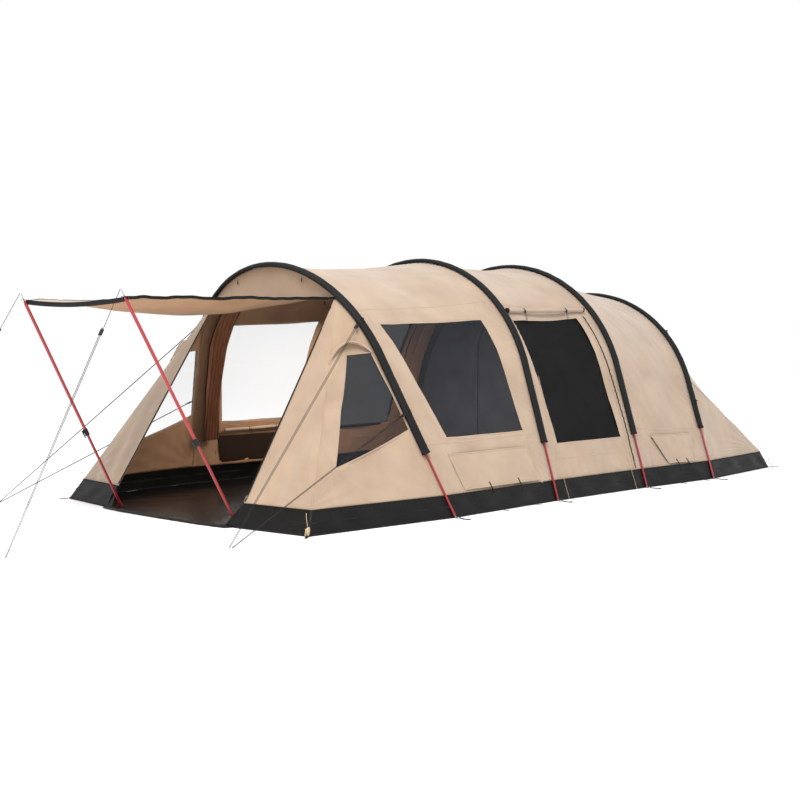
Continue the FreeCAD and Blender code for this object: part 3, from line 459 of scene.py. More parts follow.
# %% Grid that follows a net
def follow(net, cells_down, cells_along):
    """Bilinear grid through a net of control points; also gives the block of each cell."""
    net = np.asarray(net, float)
    rows, cols = (np.concatenate([np.linspace(k, k + 1, n, endpoint=False) for k, n in enumerate(cells)]
                                 + [[len(cells)]]) for cells in (cells_down, cells_along))
    r = np.minimum(rows.astype(int), len(cells_down) - 1)
    c = np.minimum(cols.astype(int), len(cells_along) - 1)
    fr, fc = (rows - r)[:, None, None], (cols - c)[None, :, None]
    top = net[r][:, c] * (1 - fc) + net[r][:, c + 1] * fc
    low = net[r + 1][:, c] * (1 - fc) + net[r + 1][:, c + 1] * fc
    return top * (1 - fr) + low * fr, r[:-1], c[:-1]


def opening(r, c, blocks):
    """True for the cells of the given (row, column) blocks."""
    return np.logical_or.reduce([(r[:, None] == i) & (c[None] == j) for i, j in blocks])


def grown(cells):
    """The same cells and their neighbours."""
    big = np.pad(cells, 1)
    return big[1:-1, 1:-1] | big[:-2, 1:-1] | big[2:, 1:-1] | big[1:-1, :-2] | big[1:-1, 2:]


CELL = 0.016                                       # metres between grid lines of the fly cloth
ROUND = 5.2                                        # metres round a hoop, near enough for counting cells
BAYS = [
    dict(rows=[[(0, .041), (.24, .042), (.82, .040), (1, .040)],
               [(0, .086), (.20, .086), (.80, .082), (1, .082)],
               [(0, .115), (.21, .115), (.85, .110), (1, .110)],
               [(0, .200), (.165, .200), (.84, .200), (1, .200)],
               [(0, .297), (.12, .297), (.83, .292), (1, .292)],
               [(0, .5), (.12, .5), (.83, .5), (1, .5)]],
         holes={"film": [(3, 1), (4, 1)], "vent": [(1, 1)]}),
    dict(rows=[[(0, .085), (.15, .085), (.86, .085), (1, .085)],
               [(0, .140), (.125, .140), (.845, .140), (1, .140)],
               [(0, .205), (.095, .205), (.825, .205), (1, .205)],
               [(0, .260), (.07, .260), (.815, .260), (1, .260)],
               [(0, .288), (.06, .285), (.80, .292), (1, .292)],
               [(0, .5), (.06, .5), (.80, .5), (1, .5)]],
         holes={"door": [(1, 1), (2, 1), (3, 1), (4, 1)]}),
    dict(rows=[[(0, .042), (.44, .042), (.76, .042), (1, .042)],
               [(0, .081), (.28, .081), (.80, .083), (1, .083)],
               [(0, .30), (.28, .30), (.80, .30), (1, .30)],
               [(0, .5), (.28, .5), (.80, .5), (1, .5)]],
         holes={"vent": [(1, 1)]}),
]


def half_bay(i):
    """(t, u) grid of bay i's right half from the skirt to the ridge, and each kind of opening as cells."""
    rows = BAYS[i]["rows"]
    low = [(t, float(mix(hoop_u(i, SKIRT_TOP)[None], hoop_u(i + 1, SKIRT_TOP)[None], t)[0]))
           for t, _ in rows[0]]
    net = np.array([low] + rows)
    length = HOOP_Y[i + 1] - HOOP_Y[i]
    down = [max(2, round(d * ROUND / CELL)) for d in np.diff(net[:, 1, 1])]
    along = [max(2, round(d * length / CELL)) for d in np.diff(net[2, :, 0])]
    grid, r, c = follow(net, down, along)
    return grid[..., 0], grid[..., 1], {k: opening(r, c, b) for k, b in BAYS[i]["holes"].items()}


def fly_relief(i, t, u):
    """How far the fly's cloth stands off its smooth shape, in metres, in bay i."""
    length = HOOP_Y[i + 1] - HOOP_Y[i]
    y, s = t * length, np.minimum(u, 1 - u) * ROUND
    side = np.where(u < 0.5, 0.0, 9.0)
    calm = np.minimum(1, np.minimum(t, 1 - t) * 14)          # cloth is held still where it meets the sleeves
    relief = ripples(y, s + side, 11 + i, 0.55, 0.0050)
    relief = relief + ripples(y, s + side, 21 + i, 0.16, 0.0013)
    near_sleeve = np.minimum(1, np.minimum(t, 1 - t) * 55)
    gathers = pleats(y, s - y * 0.7, 0.052, 0.10, 0.0052, 31 + i) \
        + pleats(length - y, s - (length - y) * 0.7, 0.052, 0.10, 0.0052, 41 + i)
    relief = relief + pleats(s - 0.2, y, 0.11, 0.10, 0.0016, 51 + i)
    for corner in ((0.0, 0.05), (length, 0.05)):
        relief = relief + fan(y, s, corner, 26, 0.16, 0.0016)
    if i == 0:
        relief = relief + pleats(s - 0.31 * ROUND, y, 0.04, 0.035, 0.0022, 61)
    return relief * calm + gathers * near_sleeve


halves = [half_bay(i) for i in range(3)]
print("cells in each half bay", [h[0].size for h in halves])

# %% [markdown]
# ## Which body, which node, how large
# Every piece rides on a body, and the frame's solid that it replaces, if any, is hidden. A sheet's cut
# size is the mean length of the grid's columns and rows before it wrinkles.

# %% Put a piece in its place
def settle(piece, body="tent", nodes=(), slot=None, held=None, flat=None, area=None, rests_on=()):
    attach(piece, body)
    if nodes:
        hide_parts(*nodes)
    return piece


def trim(name, grids, finish, slot, body="tent", nodes=()):
    """Tapes, rolls and other closed outlines as one settled piece; their faces already look outwards."""
    return settle(mesh_piece(name, grids, finish, away=None), body, nodes, slot)


CANVAS_WALL, FILM_WALL, INNER_WALL = 0.0012, 0.0004, 0.0006


def canvas(name, item, stands_for, cut, rests_on, body="tent", held="stretched", away=TENT_MIDDLE,
           thick=CANVAS_WALL):
    """A panel of polycotton, sand outside, with brown inside as painted shade and painted glow of light through
    the cloth; cut, (flat size, area), is handed on but not used.
    """
    piece = mesh_piece(name, [item], [sand, inside_painted_shade_glow], away=away, thick=thick)
    return settle(piece, body, [stands_for], "fly_sand", held, *cut, rests_on)


def cut_size(grid, keep=None):
    """(mean column length, mean row length) and the area of the kept cells, in metres."""
    down, along = metres(grid)[-1, :, 0].mean(), metres(grid)[:, -1, 1].mean()
    a, b, d = grid[:-1, :-1], grid[:-1, 1:], grid[1:, :-1]
    cells = np.linalg.norm(np.cross(b - a, d - a), axis=-1)
    area = float(cells[keep].sum() if keep is not None else cells.sum())
    return (float(down), float(along)), max(min(area, down * along), 0.3 * down * along)


def fair(area, flat):
    """The area, held between 0.31 and 1 times the flat rectangle's."""
    return max(min(area, flat[0] * flat[1]), 0.31 * flat[0] * flat[1])


def pane_cut(grid, shown):
    """Flat size of the rows and columns that a pane fills, and the area of its own cells."""
    rows, cols = np.any(shown, 1), np.any(shown, 0)
    flat = cut_size(grid[:-1][rows][:, :-1][:, cols])[0]
    return flat, fair(cut_size(grid, shown)[1], flat)


# %% [markdown]
# ## The three fly bays
# Each bay is one cloth sewn between two sleeves, from the mudwall on the right over the ridge to the
# left. The right half is worked out and the left half mirrored, then both are one grid with a shared
# ridge line. A wall 1.2 mm thick gives the cloth an inside, and the inside gets a darker, warmer brown:
# painted shade and painted glow of light through the cloth.

# %% Fly bays with their panes and netting
def whole(t, u, cells):
    """Right half then left half as one grid."""
    return (np.concatenate([t, t[-2::-1]]), np.concatenate([u, 1 - u[-2::-1]]),
            {k: np.concatenate([v, v[::-1]]) for k, v in cells.items()})


def pane_relief(i, kind, t, u):
    """A pane lies flatter than the cloth and 3 mm inside it; a door's netting hangs slack inside the fly."""
    if kind == "door":
        slack = -0.008 + ripples(t * 1.3, u * ROUND, 71, 0.5, 0.005)
        return np.minimum(fly_relief(i, t, u) - 0.003, slack)
    return fly_relief(i, t, u) * 0.6 - 0.0030


NETS = {"vent": net_brown, "door": net_black}
for i, half in enumerate(halves):
    t, u, cells = whole(*half)
    keep = ~np.logical_or.reduce(list(cells.values()))
    cloth = bay(i, u, t, CLOTH_OFF + fly_relief(i, t, u) + 0.0001)
    cut = cut_size(bay(i, u, t), keep)
    piece = canvas(f"fly_bay_{i + 1}_cloth", (cloth, keep), f"fly_bay_{i + 1}", cut,
                   [f"arch_pole_{i + 1}", f"arch_pole_{i + 2}"])
    print(piece.name, "cut", np.round(cut[0], 2), "area", round(cut[1], 2), "faces", len(piece.data.polygons))
    t, u, cells = half
    for kind, hole in cells.items():
        shown = grown(hole)
        inner = bay(i, u, t, CLOTH_OFF + pane_relief(i, kind, t, u))
        node_name, slot = ("side_windows", "window_clear") if kind == "film" else ("mesh_panels", "mesh_dark")
        cut = pane_cut(inner, shown)
        for name, side in SIDES.items():
            # films gives the right side's panes the dark film of painted shade.
            finish = films[name] if kind == "film" else NETS[kind]
            item = (mirror(inner, side), shown)
            pane = mesh_piece(f"bay_{i + 1}_{kind}_{name}", [item], finish, thick=FILM_WALL)
            settle(pane, "tent", [node_name], slot, "stretched", *cut, [f"fly_bay_{i + 1}_cloth"])

# %% [markdown]
# ## Sleeves
# Each hoop runs in a black polyester sleeve that is sewn along both edges to the fly. It is a flat tube
# that stands up round over the pole, with small cross creases where the stitching holds it, and a thick
# hem at each end. The outline is a flattened circle, 74 mm wide and 37 mm deep, carried round the hoop.

# %% Pole sleeves
SLEEVE_END = 0.49                                  # height of the open end
SLEEVE_HALF, SLEEVE_CROWN, SLEEVE_BASE = 0.0370, 0.0255, -0.0112


def hoop_frame(i, u):
    """Point, across (the hoop plane's normal) and outward direction at u."""
    p = hoop(i, u)
    slant = math.hypot(HOOP_HEIGHT[i], HOOP_LEAN[i])
    across = np.array([0.0, HOOP_HEIGHT[i] / slant, -HOOP_LEAN[i] / slant])
    return p, np.broadcast_to(across, p.shape), unit(hoop(i, u, 0.01) - p)


for i in range(4):
    end = float(hoop_u(i, SLEEVE_END, 0.0))
    u = np.linspace(end, 1 - end, 420)
    p, across, out = hoop_frame(i, u)
    a = np.linspace(0, 2 * np.pi, 29)[None]
    x = SLEEVE_HALF * np.cos(a)
    s = u[:, None] * ROUND
    crease = 0.0009 * np.sin(2 * np.pi * s / 0.045 + 2 * np.sin(s * 7)) * np.abs(np.cos(a)) ** 2 \
        + ripples(s, x * 4, 80 + i, 0.12, 0.0008)
    y = np.where(np.sin(a) > 0, SLEEVE_CROWN, SLEEVE_BASE) * np.abs(np.sin(a)) ** 0.8
    y = y + np.where(np.sin(a) > 0.05, crease, 0)
    hem = 1 + 0.10 * (np.exp(-((s - s[0]) / 0.012) ** 4) + np.exp(-((s - s[-1]) / 0.012) ** 4))
    grid = p[:, None] + across[:, None] * (x * hem)[..., None] + out[:, None] * (y * hem)[..., None]
    sleeve = mesh_piece(f"pole_sleeve_{i + 1}_cloth", [grid], sleeve_black, away=None, thick=0.0008)
    settle(sleeve, "tent", [f"pole_sleeve_{i + 1}"], "sleeve_black")
print("sleeves made")

# %% [markdown]
# ## Tapes sewn along the cloth
# Seams, bindings and webbing are narrow tapes that lie on the cloth. One helper carries a flat outline
# along a line of points and takes the cloth's outward direction as up. Felled seams run along each bay
# where panels join.

# %% Seam tapes on the fly
SEAM_TAPE, BINDING_TAPE = tape(0.009, 0.0012), tape(0.013, 0.0016)


def on_bay(i, t, u, off=0.0):
    """Point on the wrinkled fly at (t, u), off metres outside it."""
    t, u = np.broadcast_arrays(np.asarray(t, float), np.asarray(u, float))
    return bay(i, u, t, CLOTH_OFF + fly_relief(i, t, u) + off)


def outwards(i, t, u):
    """Outward direction of bay i's cloth at (t, u)."""
    t, u = np.broadcast_arrays(np.asarray(t, float), np.asarray(u, float))
    return unit(bay(i, u, t, 0.01) - bay(i, u, t, 0.0))


def along_net(corners, step=0.012):
    """(t, u) corners joined by straight runs in the net's own coordinates, divided finely."""
    pts = np.asarray(corners, float)
    far = np.hypot(np.diff(pts[:, 0]) * 1.3, np.diff(pts[:, 1]) * ROUND)
    runs = [np.linspace(p, q, max(3, int(d / step)), endpoint=False) for p, q, d in zip(pts[:-1], pts[1:], far)]
    return np.concatenate(runs + [pts[-1:]]).T


def bay_tape(i, corners, outline, off=0.0008):
    """Grid of a tape on bay i's right side through (t, u) corners."""
    t, u = along_net(corners)
    return carried(on_bay(i, t, u, off), outline, outwards(i, t, u))


SEAMS = [(0, [(.03, .325), (.97, .325)]), (0, [(.03, .109), (.97, .104)]), (1, [(.03, .316), (.97, .316)]),
         (1, [(.03, .062), (.92, .062)]), (2, [(.03, .097), (.97, .097)]), (2, [(.03, .36), (.97, .36)]),
         (0, [(.17, .0345), (.17, .100)]), (0, [(.87, .0345), (.87, .100)]),
         (2, [(.20, .0345), (.22, .095)]), (2, [(.86, .0345), (.86, .095)])]
WINDOW_EDGES = [(0, [(.12, .297), (.83, .292), (.84, .200), (.85, .110), (.21, .115), (.165, .200),
                     (.12, .297)]),
                (1, [(.06, .285), (.80, .292), (.815, .260), (.825, .205), (.845, .140), (.86, .085),
                     (.15, .085), (.125, .140), (.095, .205), (.07, .260), (.06, .285)])]
trim("fly_seams", both([bay_tape(i, corners, SEAM_TAPE) for i, corners in SEAMS]), sand, "fly_sand")
trim("window_bindings", both([bay_tape(i, corners, BINDING_TAPE) for i, corners in WINDOW_EDGES]), sand,
     "fly_sand")

# %% [markdown]
# ## The front gable
# Above the doorway a crescent of cloth fills the front hoop down to the header, the seam that the door
# hangs from. It is ruled between the hoop and the header line, with short vertical ripples that fade
# upwards.

# %% Front gable and header
FRONT = np.array([0.0, -HOOP_HEIGHT[0], HOOP_LEAN[0]]) / math.hypot(HOOP_HEIGHT[0], HOOP_LEAN[0])
HEADER_Z, HEADER_X = 1.719, 0.735
GABLE_FLAT = (1.75, 0.35)
u_head = float(hoop_u(0, HEADER_Z))
u = np.linspace(u_head, 1 - u_head, 110)
top = hoop(0, u, CLOTH_OFF) + FRONT * 0.0014
chord = mix(top[0], top[-1], np.linspace(0, 1, 110))
k = np.linspace(0, 1, 26)[None]
gable = mix(top[:, None], chord[:, None], k)
wave = ripples(gable[..., 0], gable[..., 2], 5, 0.35, 0.0035) * np.sin(np.pi * k)
wave = wave + pleats(gable[..., 2] - HEADER_Z, gable[..., 0], 0.05, 0.05, 0.0015) * (1 - k)
canvas("front_gable_cloth", gable + FRONT * wave[..., None], "front_gable",
       (GABLE_FLAT, fair(cut_size(gable)[1], GABLE_FLAT)), ["arch_pole_1"])
header_end = np.array([HEADER_X + 0.008, MIDDLE - 0.394, HEADER_Z - 0.007])
trim("front_header_tape", [carried(line([mirror(header_end), header_end]), tape(0.020, 0.004), (0, -1, 0.2))],
     sleeve_black, "fly_sand")

# %% [markdown]
# ## Porch wings
# Each wing is two cloths that meet in a ridge from the header's end down to the pegged front corner: a
# side with a window, ruled from the hoop's leg to the ridge, and a narrow front, ruled from the ridge to
# the door's zip. The window's corners are found on the ruled surface, and the net is laid through them.

# %% Wing sides with their windows
u_low = float(hoop_u(0, SKIRT_TOP))
CORNER = np.array([1.530, -1.405 + MIDDLE, 0.0])
RIDGE_TOP = hoop(0, u_head, CLOTH_OFF) + FRONT * 0.003 + np.array([-0.001, 0, -0.006])
JAMB_FOOT = np.array([0.815, -1.500 + MIDDLE, 0.0])
JAMB_TOP = np.array([0.750, RIDGE_TOP[1] + 0.001, RIDGE_TOP[2]])


def at_height(low, high, z):
    """Point of the line low-high at height z."""
    k = ((np.asarray(z, float) - low[2]) / (high[2] - low[2]))[..., None]
    return low + (high - low) * k


def wing(k, s, off=0.0):
    """Wing side: k up from the mudwall, s from the hoop (0) to the ridge (1), pushed off along its normal."""
    k, s = np.broadcast_arrays(np.asarray(k, float), np.asarray(s, float))
    a = hoop(0, u_low + (u_head - 0.004 - u_low) * k, CLOTH_OFF) + FRONT * 0.0009
    b = at_height(CORNER, RIDGE_TOP, SKIRT_TOP + (RIDGE_TOP[2] - 0.012 - SKIRT_TOP) * k)
    return mix(a, b, s) + unit([0.9, -0.3, 0.45]) * np.asarray(off, float)[..., None]


def find_wing(y, z):
    """(k, s) of the wing at tent station y and height z, by the nearest of a fine grid."""
    k, s = np.meshgrid(np.linspace(0, 1, 700), np.linspace(0, 1, 500), indexing="ij")
    p = wing(k, s)
    far = (p[..., 1] - (y + MIDDLE)) ** 2 + (p[..., 2] - z) ** 2
    i = np.unravel_index(far.argmin(), far.shape)
    return k[i], s[i]


WINDOW_CORNERS = dict(top_f=(-.545, 1.262), top_b=(-.346, 1.280), mid_f=(-.764, .845),
                      mid_b=(-.268, .980), low_f=(-.985, .432), low_b=(-.200, .680))
window = {name: find_wing(*place) for name, place in WINDOW_CORNERS.items()}
wing_net = np.array(
    [[(0, 0), (0, window["low_b"][1]), (0, window["low_f"][1]), (0, 1)]]
    + [[(window[row + "_b"][0], 0), window[row + "_b"], window[row + "_f"], (window[row + "_f"][0], 1)]
       for row in ("low", "mid", "top")]
    + [[(1, 0), (1, window["top_b"][1]), (1, window["top_f"][1]), (1, 1)]])
grid_ks, rows, cols = follow(wing_net, [24, 26, 26, 34], [18, 34, 30])
k, s = grid_ks[..., 0], grid_ks[..., 1]
hole = opening(rows, cols, [(1, 1), (2, 1)])
shown = grown(hole)
smooth_wing = wing(k, s)
y, z = smooth_wing[..., 1] - MIDDLE, smooth_wing[..., 2]
still = np.minimum(1, np.minimum(s, 1 - s) * 12 + 0.1)
wing_relief = (ripples(y, z, 91, 0.45, 0.005) + ripples(y, z, 92, 0.12, 0.0010)
               + fan(y, z, (-1.38, 0.17), 30, 0.22, 0.0035) + fan(y, z, (0.0, 0.17), 24, 0.16, 0.0022)
               + fan(y, z, (-1.0, 0.42), 16, 0.10, 0.0028) + pleats(s * 0.9, z, 0.05, 0.05, 0.0022)) * still
wing_cut = cut_size(smooth_wing, ~hole)
wing_cloth = wing(k, s, wing_relief)
pane_grid = wing(k, s, wing_relief * 0.6 - 0.0038)
for name, side in SIDES.items():
    canvas(f"wing_side_{name}", (mirror(wing_cloth, side), ~hole), "wing_sides",
           (wing_cut[0], fair(wing_cut[1], wing_cut[0])), ["arch_pole_1"])
    # films gives the right side's pane the dark film of painted shade.
    pane = mesh_piece(f"wing_window_{name}", [(mirror(pane_grid, side), shown)], films[name], thick=FILM_WALL)
    settle(pane, "tent", ["wing_windows"], "window_clear", "stretched", *pane_cut(pane_grid, shown),
           [f"wing_side_{name}"])
print("wing window corners (k, s)", {n: np.round(v, 3).tolist() for n, v in window.items()})

# %% Wing fronts
FRONT_WIDTH = 0.72
zs = np.linspace(SKIRT_TOP, RIDGE_TOP[2] - 0.014, 100)
a = at_height(CORNER, RIDGE_TOP, zs) + np.array([-0.003, -0.0035, 0])
b = at_height(JAMB_FOOT, JAMB_TOP, zs)
s = np.linspace(0, 1, 44)[None, :]
front_smooth = mix(a[:, None], b[:, None], s)
x, z = front_smooth[..., 0], front_smooth[..., 2]
front_relief = (ripples(x * 1.5, z * 0.5, 101, 0.28, 0.004) + fan(x, z, (1.45, 0.17), 22, 0.2, 0.0025)
                + pleats((s - 1) * 0.6, z, 0.06, 0.06, 0.0015)) * np.minimum(1, np.minimum(s, 1 - s) * 10)
front_cloth = front_smooth + unit([0.3, -1, 0.6]) * front_relief[..., None]
(height, _), area = cut_size(front_smooth)
front_flat = (height, FRONT_WIDTH)
for name, side in SIDES.items():
    canvas(f"wing_front_{name}", mirror(front_cloth, side), "wing_fronts",
           (front_flat, fair(area, front_flat)), ["arch_pole_1"])

# %% Wing seams and window binding
WING_UP = (0.9, -0.3, 0.45)
ridge_zs = np.linspace(SKIRT_TOP, RIDGE_TOP[2] - 0.02, 90)
ridge_line = at_height(CORNER, RIDGE_TOP, ridge_zs) + [0.0005, -0.0015, 0]
ridge = carried(ridge_line, tape(0.012, 0.002), (0.6, -0.8, 0.3))
ring = ["low_b", "mid_b", "top_b", "top_f", "mid_f", "low_f", "low_b"]
edge_runs = [np.linspace(window[p], window[q], 30, endpoint=False) for p, q in zip(ring, ring[1:])]
edge_ks = np.concatenate(edge_runs + [[window["low_b"]]])
rim = carried(wing(edge_ks[:, 0], edge_ks[:, 1], 0.0015), BINDING_TAPE, WING_UP)
seam_s = np.full(60, window["low_b"][1] * 0.45)
seam = carried(wing(np.linspace(0.0, 0.97, 60), seam_s, 0.001), SEAM_TAPE, WING_UP)
trim("wing_seams", both([ridge, rim, seam]), sand, "fly_sand")

# %% [markdown]
# ## Hoods over the wing windows
# A hood is a cloth eave sewn on above the window. Its root follows the wing in an arch and its free edge
# stands out, so that rain drips clear. It is a curved strip whose width grows as sin(pi s) to the middle.

# %% Window hoods
HOOD_ARCH = ((-.705, 1.205), (-.520, 1.392), (-.338, 1.292))      # (station, height) of its quadratic curve
HOOD_FLAT, HOOD_AREA = (0.46, 0.075), 0.46 * 0.055
h0, h1, h2 = (np.array(p) for p in HOOD_ARCH)
s = np.linspace(0, 1, 40)
yz = ((1 - s) ** 2)[:, None] * h0 + (2 * s * (1 - s))[:, None] * h1 + (s ** 2)[:, None] * h2
yz[:, 1] += 0.03 * np.sin(np.pi * s)
root = np.array([wing(*find_wing(*place)) for place in yz])
root[:, 1:] = yz + [MIDDLE, 0]
hood_out = unit([0.93, -0.28, 0.48])
reach = 0.012 + 0.062 * np.sin(np.pi * s)
w = np.linspace(0, 1, 9)[None, :, None]
lip = root + hood_out * reach[:, None] + np.array([0, 0, -0.024])
hood = root[:, None] * (1 - w) + lip[:, None] * w
hood = hood + np.array([0, 0, 0.010]) * np.sin(np.pi * w) + hood_out * 0.003
hood = hood + hood_out * (0.0016 * np.sin(2 * np.pi * s / 0.09) * s * 4 * (1 - s))[:, None, None] * w
hood_hem = carried(lip + hood_out * 0.003, tape(0.012, 0.0022), hood_out)
for name, side in SIDES.items():
    canvas(f"window_hood_{name}", mirror(hood, side), "window_hoods", (HOOD_FLAT, HOOD_AREA),
           [f"wing_side_{name}"], away=(0, -2.0, 0.4))
    trim(f"window_hood_hem_{name}", [mirror(hood_hem, side)], sand, "fly_sand")

# %% [markdown]
# ## Mudwall
# Round the foot of the tent runs a black coated strip that keeps splashes and draughts out. It hangs from
# the sand cloth, has a fold half way up, ripples between the pegs and is held still where each hoop's
# foot stands. It is a ruled strip between a top line and a foot line, pushed sideways by its ripples.

# %% The mudwall's lines
REAR_CORNER = np.array([1.608, 5.211 + MIDDLE, 0.0])
REAR_TOP = REAR_CORNER + np.array([-0.062, -0.082, SKIRT_TOP])
SKIRT_Z = SKIRT_TOP + 0.006
LEG_OFF = -0.0098                                  # the strip runs this far inside the hoops' centre lines


def leg_point(i, z, off):
    """Point of hoop i's right leg at height z, off outside the pole's centre line."""
    a, h, lean = LEG_ANGLE[i], HOOP_HEIGHT[i], HOOP_LEAN[i]
    x = HOOP_WIDTH[i] / 2 - math.tan(a) * z * math.hypot(h, lean) / h + off / math.cos(a)
    return np.array([x, HOOP_Y[i] + MIDDLE + lean * z / h, z])


rear_leg = leg_point(3, SKIRT_TOP, CLOTH_OFF)
rear_along = unit((rear_leg - REAR_TOP) * [1, 1, 0])
rear_out = np.array([abs(rear_along[1]), abs(rear_along[0]), 0.0])
ridge_foot = at_height(CORNER, RIDGE_TOP, SKIRT_Z)
tops = np.array([at_height(JAMB_FOOT, JAMB_TOP, SKIRT_Z) + [0.002, -0.006, 0],
                 ridge_foot + [-0.002, -0.008, 0], ridge_foot + [0.006, 0.006, 0],
                 *[leg_point(i, SKIRT_Z, LEG_OFF) for i in range(4)],
                 REAR_TOP + rear_along * 0.022 + rear_out * 0.0044 + [0, 0, 0.006],
                 REAR_TOP + [-0.010, 0.0054, 0.006]])
feet = np.array([JAMB_FOOT + [0.002, -0.006, 0], CORNER + [-0.004, -0.008, 0], CORNER + [0.006, 0.006, 0],
                 *[leg_point(i, 0, LEG_OFF) for i in range(4)],
                 REAR_CORNER + rear_along * 0.022 + rear_out * 0.0036, REAR_CORNER + [-0.010, 0.0044, 0]])
walk = np.r_[0, np.linalg.norm(np.diff(feet, axis=0), axis=1).cumsum()]
mud_s = np.unique(np.r_[np.arange(0, walk[-1], 0.014), walk])
foot_line, top_line = (np.stack([np.interp(mud_s, walk, points[:, k]) for k in range(3)], -1)
                       for points in (feet, tops))
side_way = unit(np.cross(np.gradient(foot_line, axis=0), (0, 0, 1)))

# %% Mudwall strips
v = np.linspace(0, 1, 15)[None]
strip = mix(foot_line[:, None], top_line[:, None], v)
calm = 1 - np.exp(-(np.abs(mud_s[:, None] - walk[None, 1:]).min(1) / 0.07) ** 2)
bulge = (ripples(mud_s[:, None], v * 0.3, 111, 0.30, 0.006) + 0.004) * np.sin(np.pi * v)
bulge = bulge + 0.0045 * np.exp(-((v - 0.50) / 0.05) ** 2) - 0.004 * (1 - v) ** 2
bulge = bulge + pleats((1 - v) * 0.17, mud_s[:, None], 0.05, 0.04, 0.0015)
strip = strip + side_way[:, None] * (bulge * calm[:, None])[..., None]
for name, side in SIDES.items():
    piece = mesh_piece(f"mudwall_{name}", [mirror(strip, side)], mudwall, thick=CANVAS_WALL)
    settle(piece, "tent", ["skirt_sides"], "skirt_black", "hung", *cut_size(strip), [f"wing_side_{name}"])
gusset_top = at_height(JAMB_FOOT, JAMB_TOP, 0.168)
gusset = patch(gusset_top + [0.0, -0.004, 0], gusset_top + [0.0, -0.002, 0],
               JAMB_FOOT + [-0.085, -0.010, 0.012], JAMB_FOOT + [0.0, -0.004, 0.004], 12, 10)
settle(mesh_piece("door_gussets", both([gusset]), mudwall, thick=CANVAS_WALL), "tent", slot="skirt_black")
x = np.linspace(-REAR_CORNER[0] + 0.012, REAR_CORNER[0] - 0.012, 220)[:, None]
low = np.stack([x, np.full_like(x, REAR_CORNER[1] + 0.0044), np.zeros_like(x)], -1)
high = np.stack([x * 0.962, np.full_like(x, REAR_TOP[1] + 0.0054), np.full_like(x, SKIRT_Z)], -1)
rear_strip = mix(low, high, v)
edge = 1 - np.exp(-((np.abs(x) - REAR_CORNER[0]) / 0.08) ** 2)
rear_bulge = ripples(x, v * 0.3, 112, 0.3, 0.006) * np.sin(np.pi * v)
rear_bulge = rear_bulge + 0.003 * np.exp(-((v - 0.46) / 0.05) ** 2)
rear_strip[..., 1] += rear_bulge * edge
piece = mesh_piece("mudwall_rear", [rear_strip], mudwall, thick=CANVAS_WALL)
settle(piece, "tent", ["skirt_rear"], "skirt_black", "hung", *cut_size(rear_strip), ["rear_wall"])

# %% [markdown]
# ## Ground sheet
# The ground sheet is a laminated film, dark and a little glossy, pegged at the edges and never quite
# flat. Its grid is stretched from side to side between the legs; fold lines from being packed cross it as
# low ridges.

# %% Ground sheet and sill
HALF_WIDTHS = np.array([[-1.60, 1.500], [-1.383, 1.500], [0.0, 1.647], [1.373, 1.611], [2.713, 1.641],
                        [3.800, 1.716], [5.191, 1.582]])          # station along the tent, half width there
FRONT_EDGE = np.array([[0, -1.585], [0.5, -1.578], [0.778, -1.552], [0.82, -1.470], [1.5, -1.383]])
SHEET_END, BED_START = 5.191, 2.60
RIDGE_HIGH, RIDGE_WIDE = 0.0022, 0.012             # a fold line's height and half width
s, r = np.meshgrid(np.linspace(-1, 1, 151), np.linspace(0, 1, 290), indexing="ij")
y = np.interp(np.abs(s) * 1.5, FRONT_EDGE[:, 0], FRONT_EDGE[:, 1])
y = y + (SHEET_END - y) * r
x = s * np.interp(y, HALF_WIDTHS[:, 0], HALF_WIDTHS[:, 1])
folds = sum(RIDGE_HIGH * np.exp(-((x - c + 0.02 * np.sin(y * 2 + c)) / RIDGE_WIDE) ** 2)
            for c in (-1.0, -0.33, 0.33, 1.0))
folds = folds + sum(RIDGE_HIGH * np.exp(-((y - c + 0.02 * np.sin(x * 3)) / RIDGE_WIDE) ** 2)
                    for c in (-1.0, -0.3, 0.5, 1.3, 2.1, 3.2, 4.2))
rise = 0.0016 + folds + np.abs(ripples(x, y, 121, 0.22, 0.0016)) + np.abs(ripples(x, y, 122, 0.6, 0.002))
rise = np.where(y > BED_START, 0.0016, rise)       # flat under the bedroom
sheet = np.stack([x, y + MIDDLE, rise], -1)
piece = mesh_piece("ground_sheet", [sheet], ground_film, away=(0, 0, -5), thick=0.001)
settle(piece, "tent", ["groundsheet"], "sheet_grey", "laid", *cut_size(sheet), ["arch_foot_pins"])
SILL = [(-0.80, -1.475), (-0.778, -1.548), (-0.5, -1.574), (0, -1.581), (0.5, -1.574), (0.778, -1.548),
        (0.80, -1.475)]
sill_line = line([(x_, y_ + MIDDLE, 0.008) for x_, y_ in SILL], 0.012)
sill_line[:, 2] += np.abs(ripples(sill_line[:, 0], sill_line[:, 0] * 0, 123, 0.2, 0.003))
trim("door_sill", [carried(sill_line, tape(0.034, 0.007), (0, -0.3, 1))], mudwall, "skirt_black")

# %% [markdown]
# ## Rear of the tent
# Behind the last hoop the cloth slopes to the ground line: two side cloths and a broad back one, meeting
# in ridges that run to the pegged corners. The ground line under each u is worked out first, then the
# ruled surface sags a little inwards. Relief is pushed along normals taken from the grid itself.

# %% Rear cloth
REAR = np.array([0.0, HOOP_HEIGHT[3], -HOOP_LEAN[3]]) / math.hypot(HOOP_HEIGHT[3], HOOP_LEAN[3])
RIDGE_U = 0.2


def pushed(grid, relief, away=TENT_MIDDLE):
    """Moves each point along the grid's own normal (down step x along step), turned away from a point."""
    normal = unit(np.cross(np.gradient(grid, axis=0), np.gradient(grid, axis=1)))
    if (normal * (grid - np.array(away))).sum() < 0:
        normal = -normal
    return grid + normal * np.asarray(relief)[..., None]


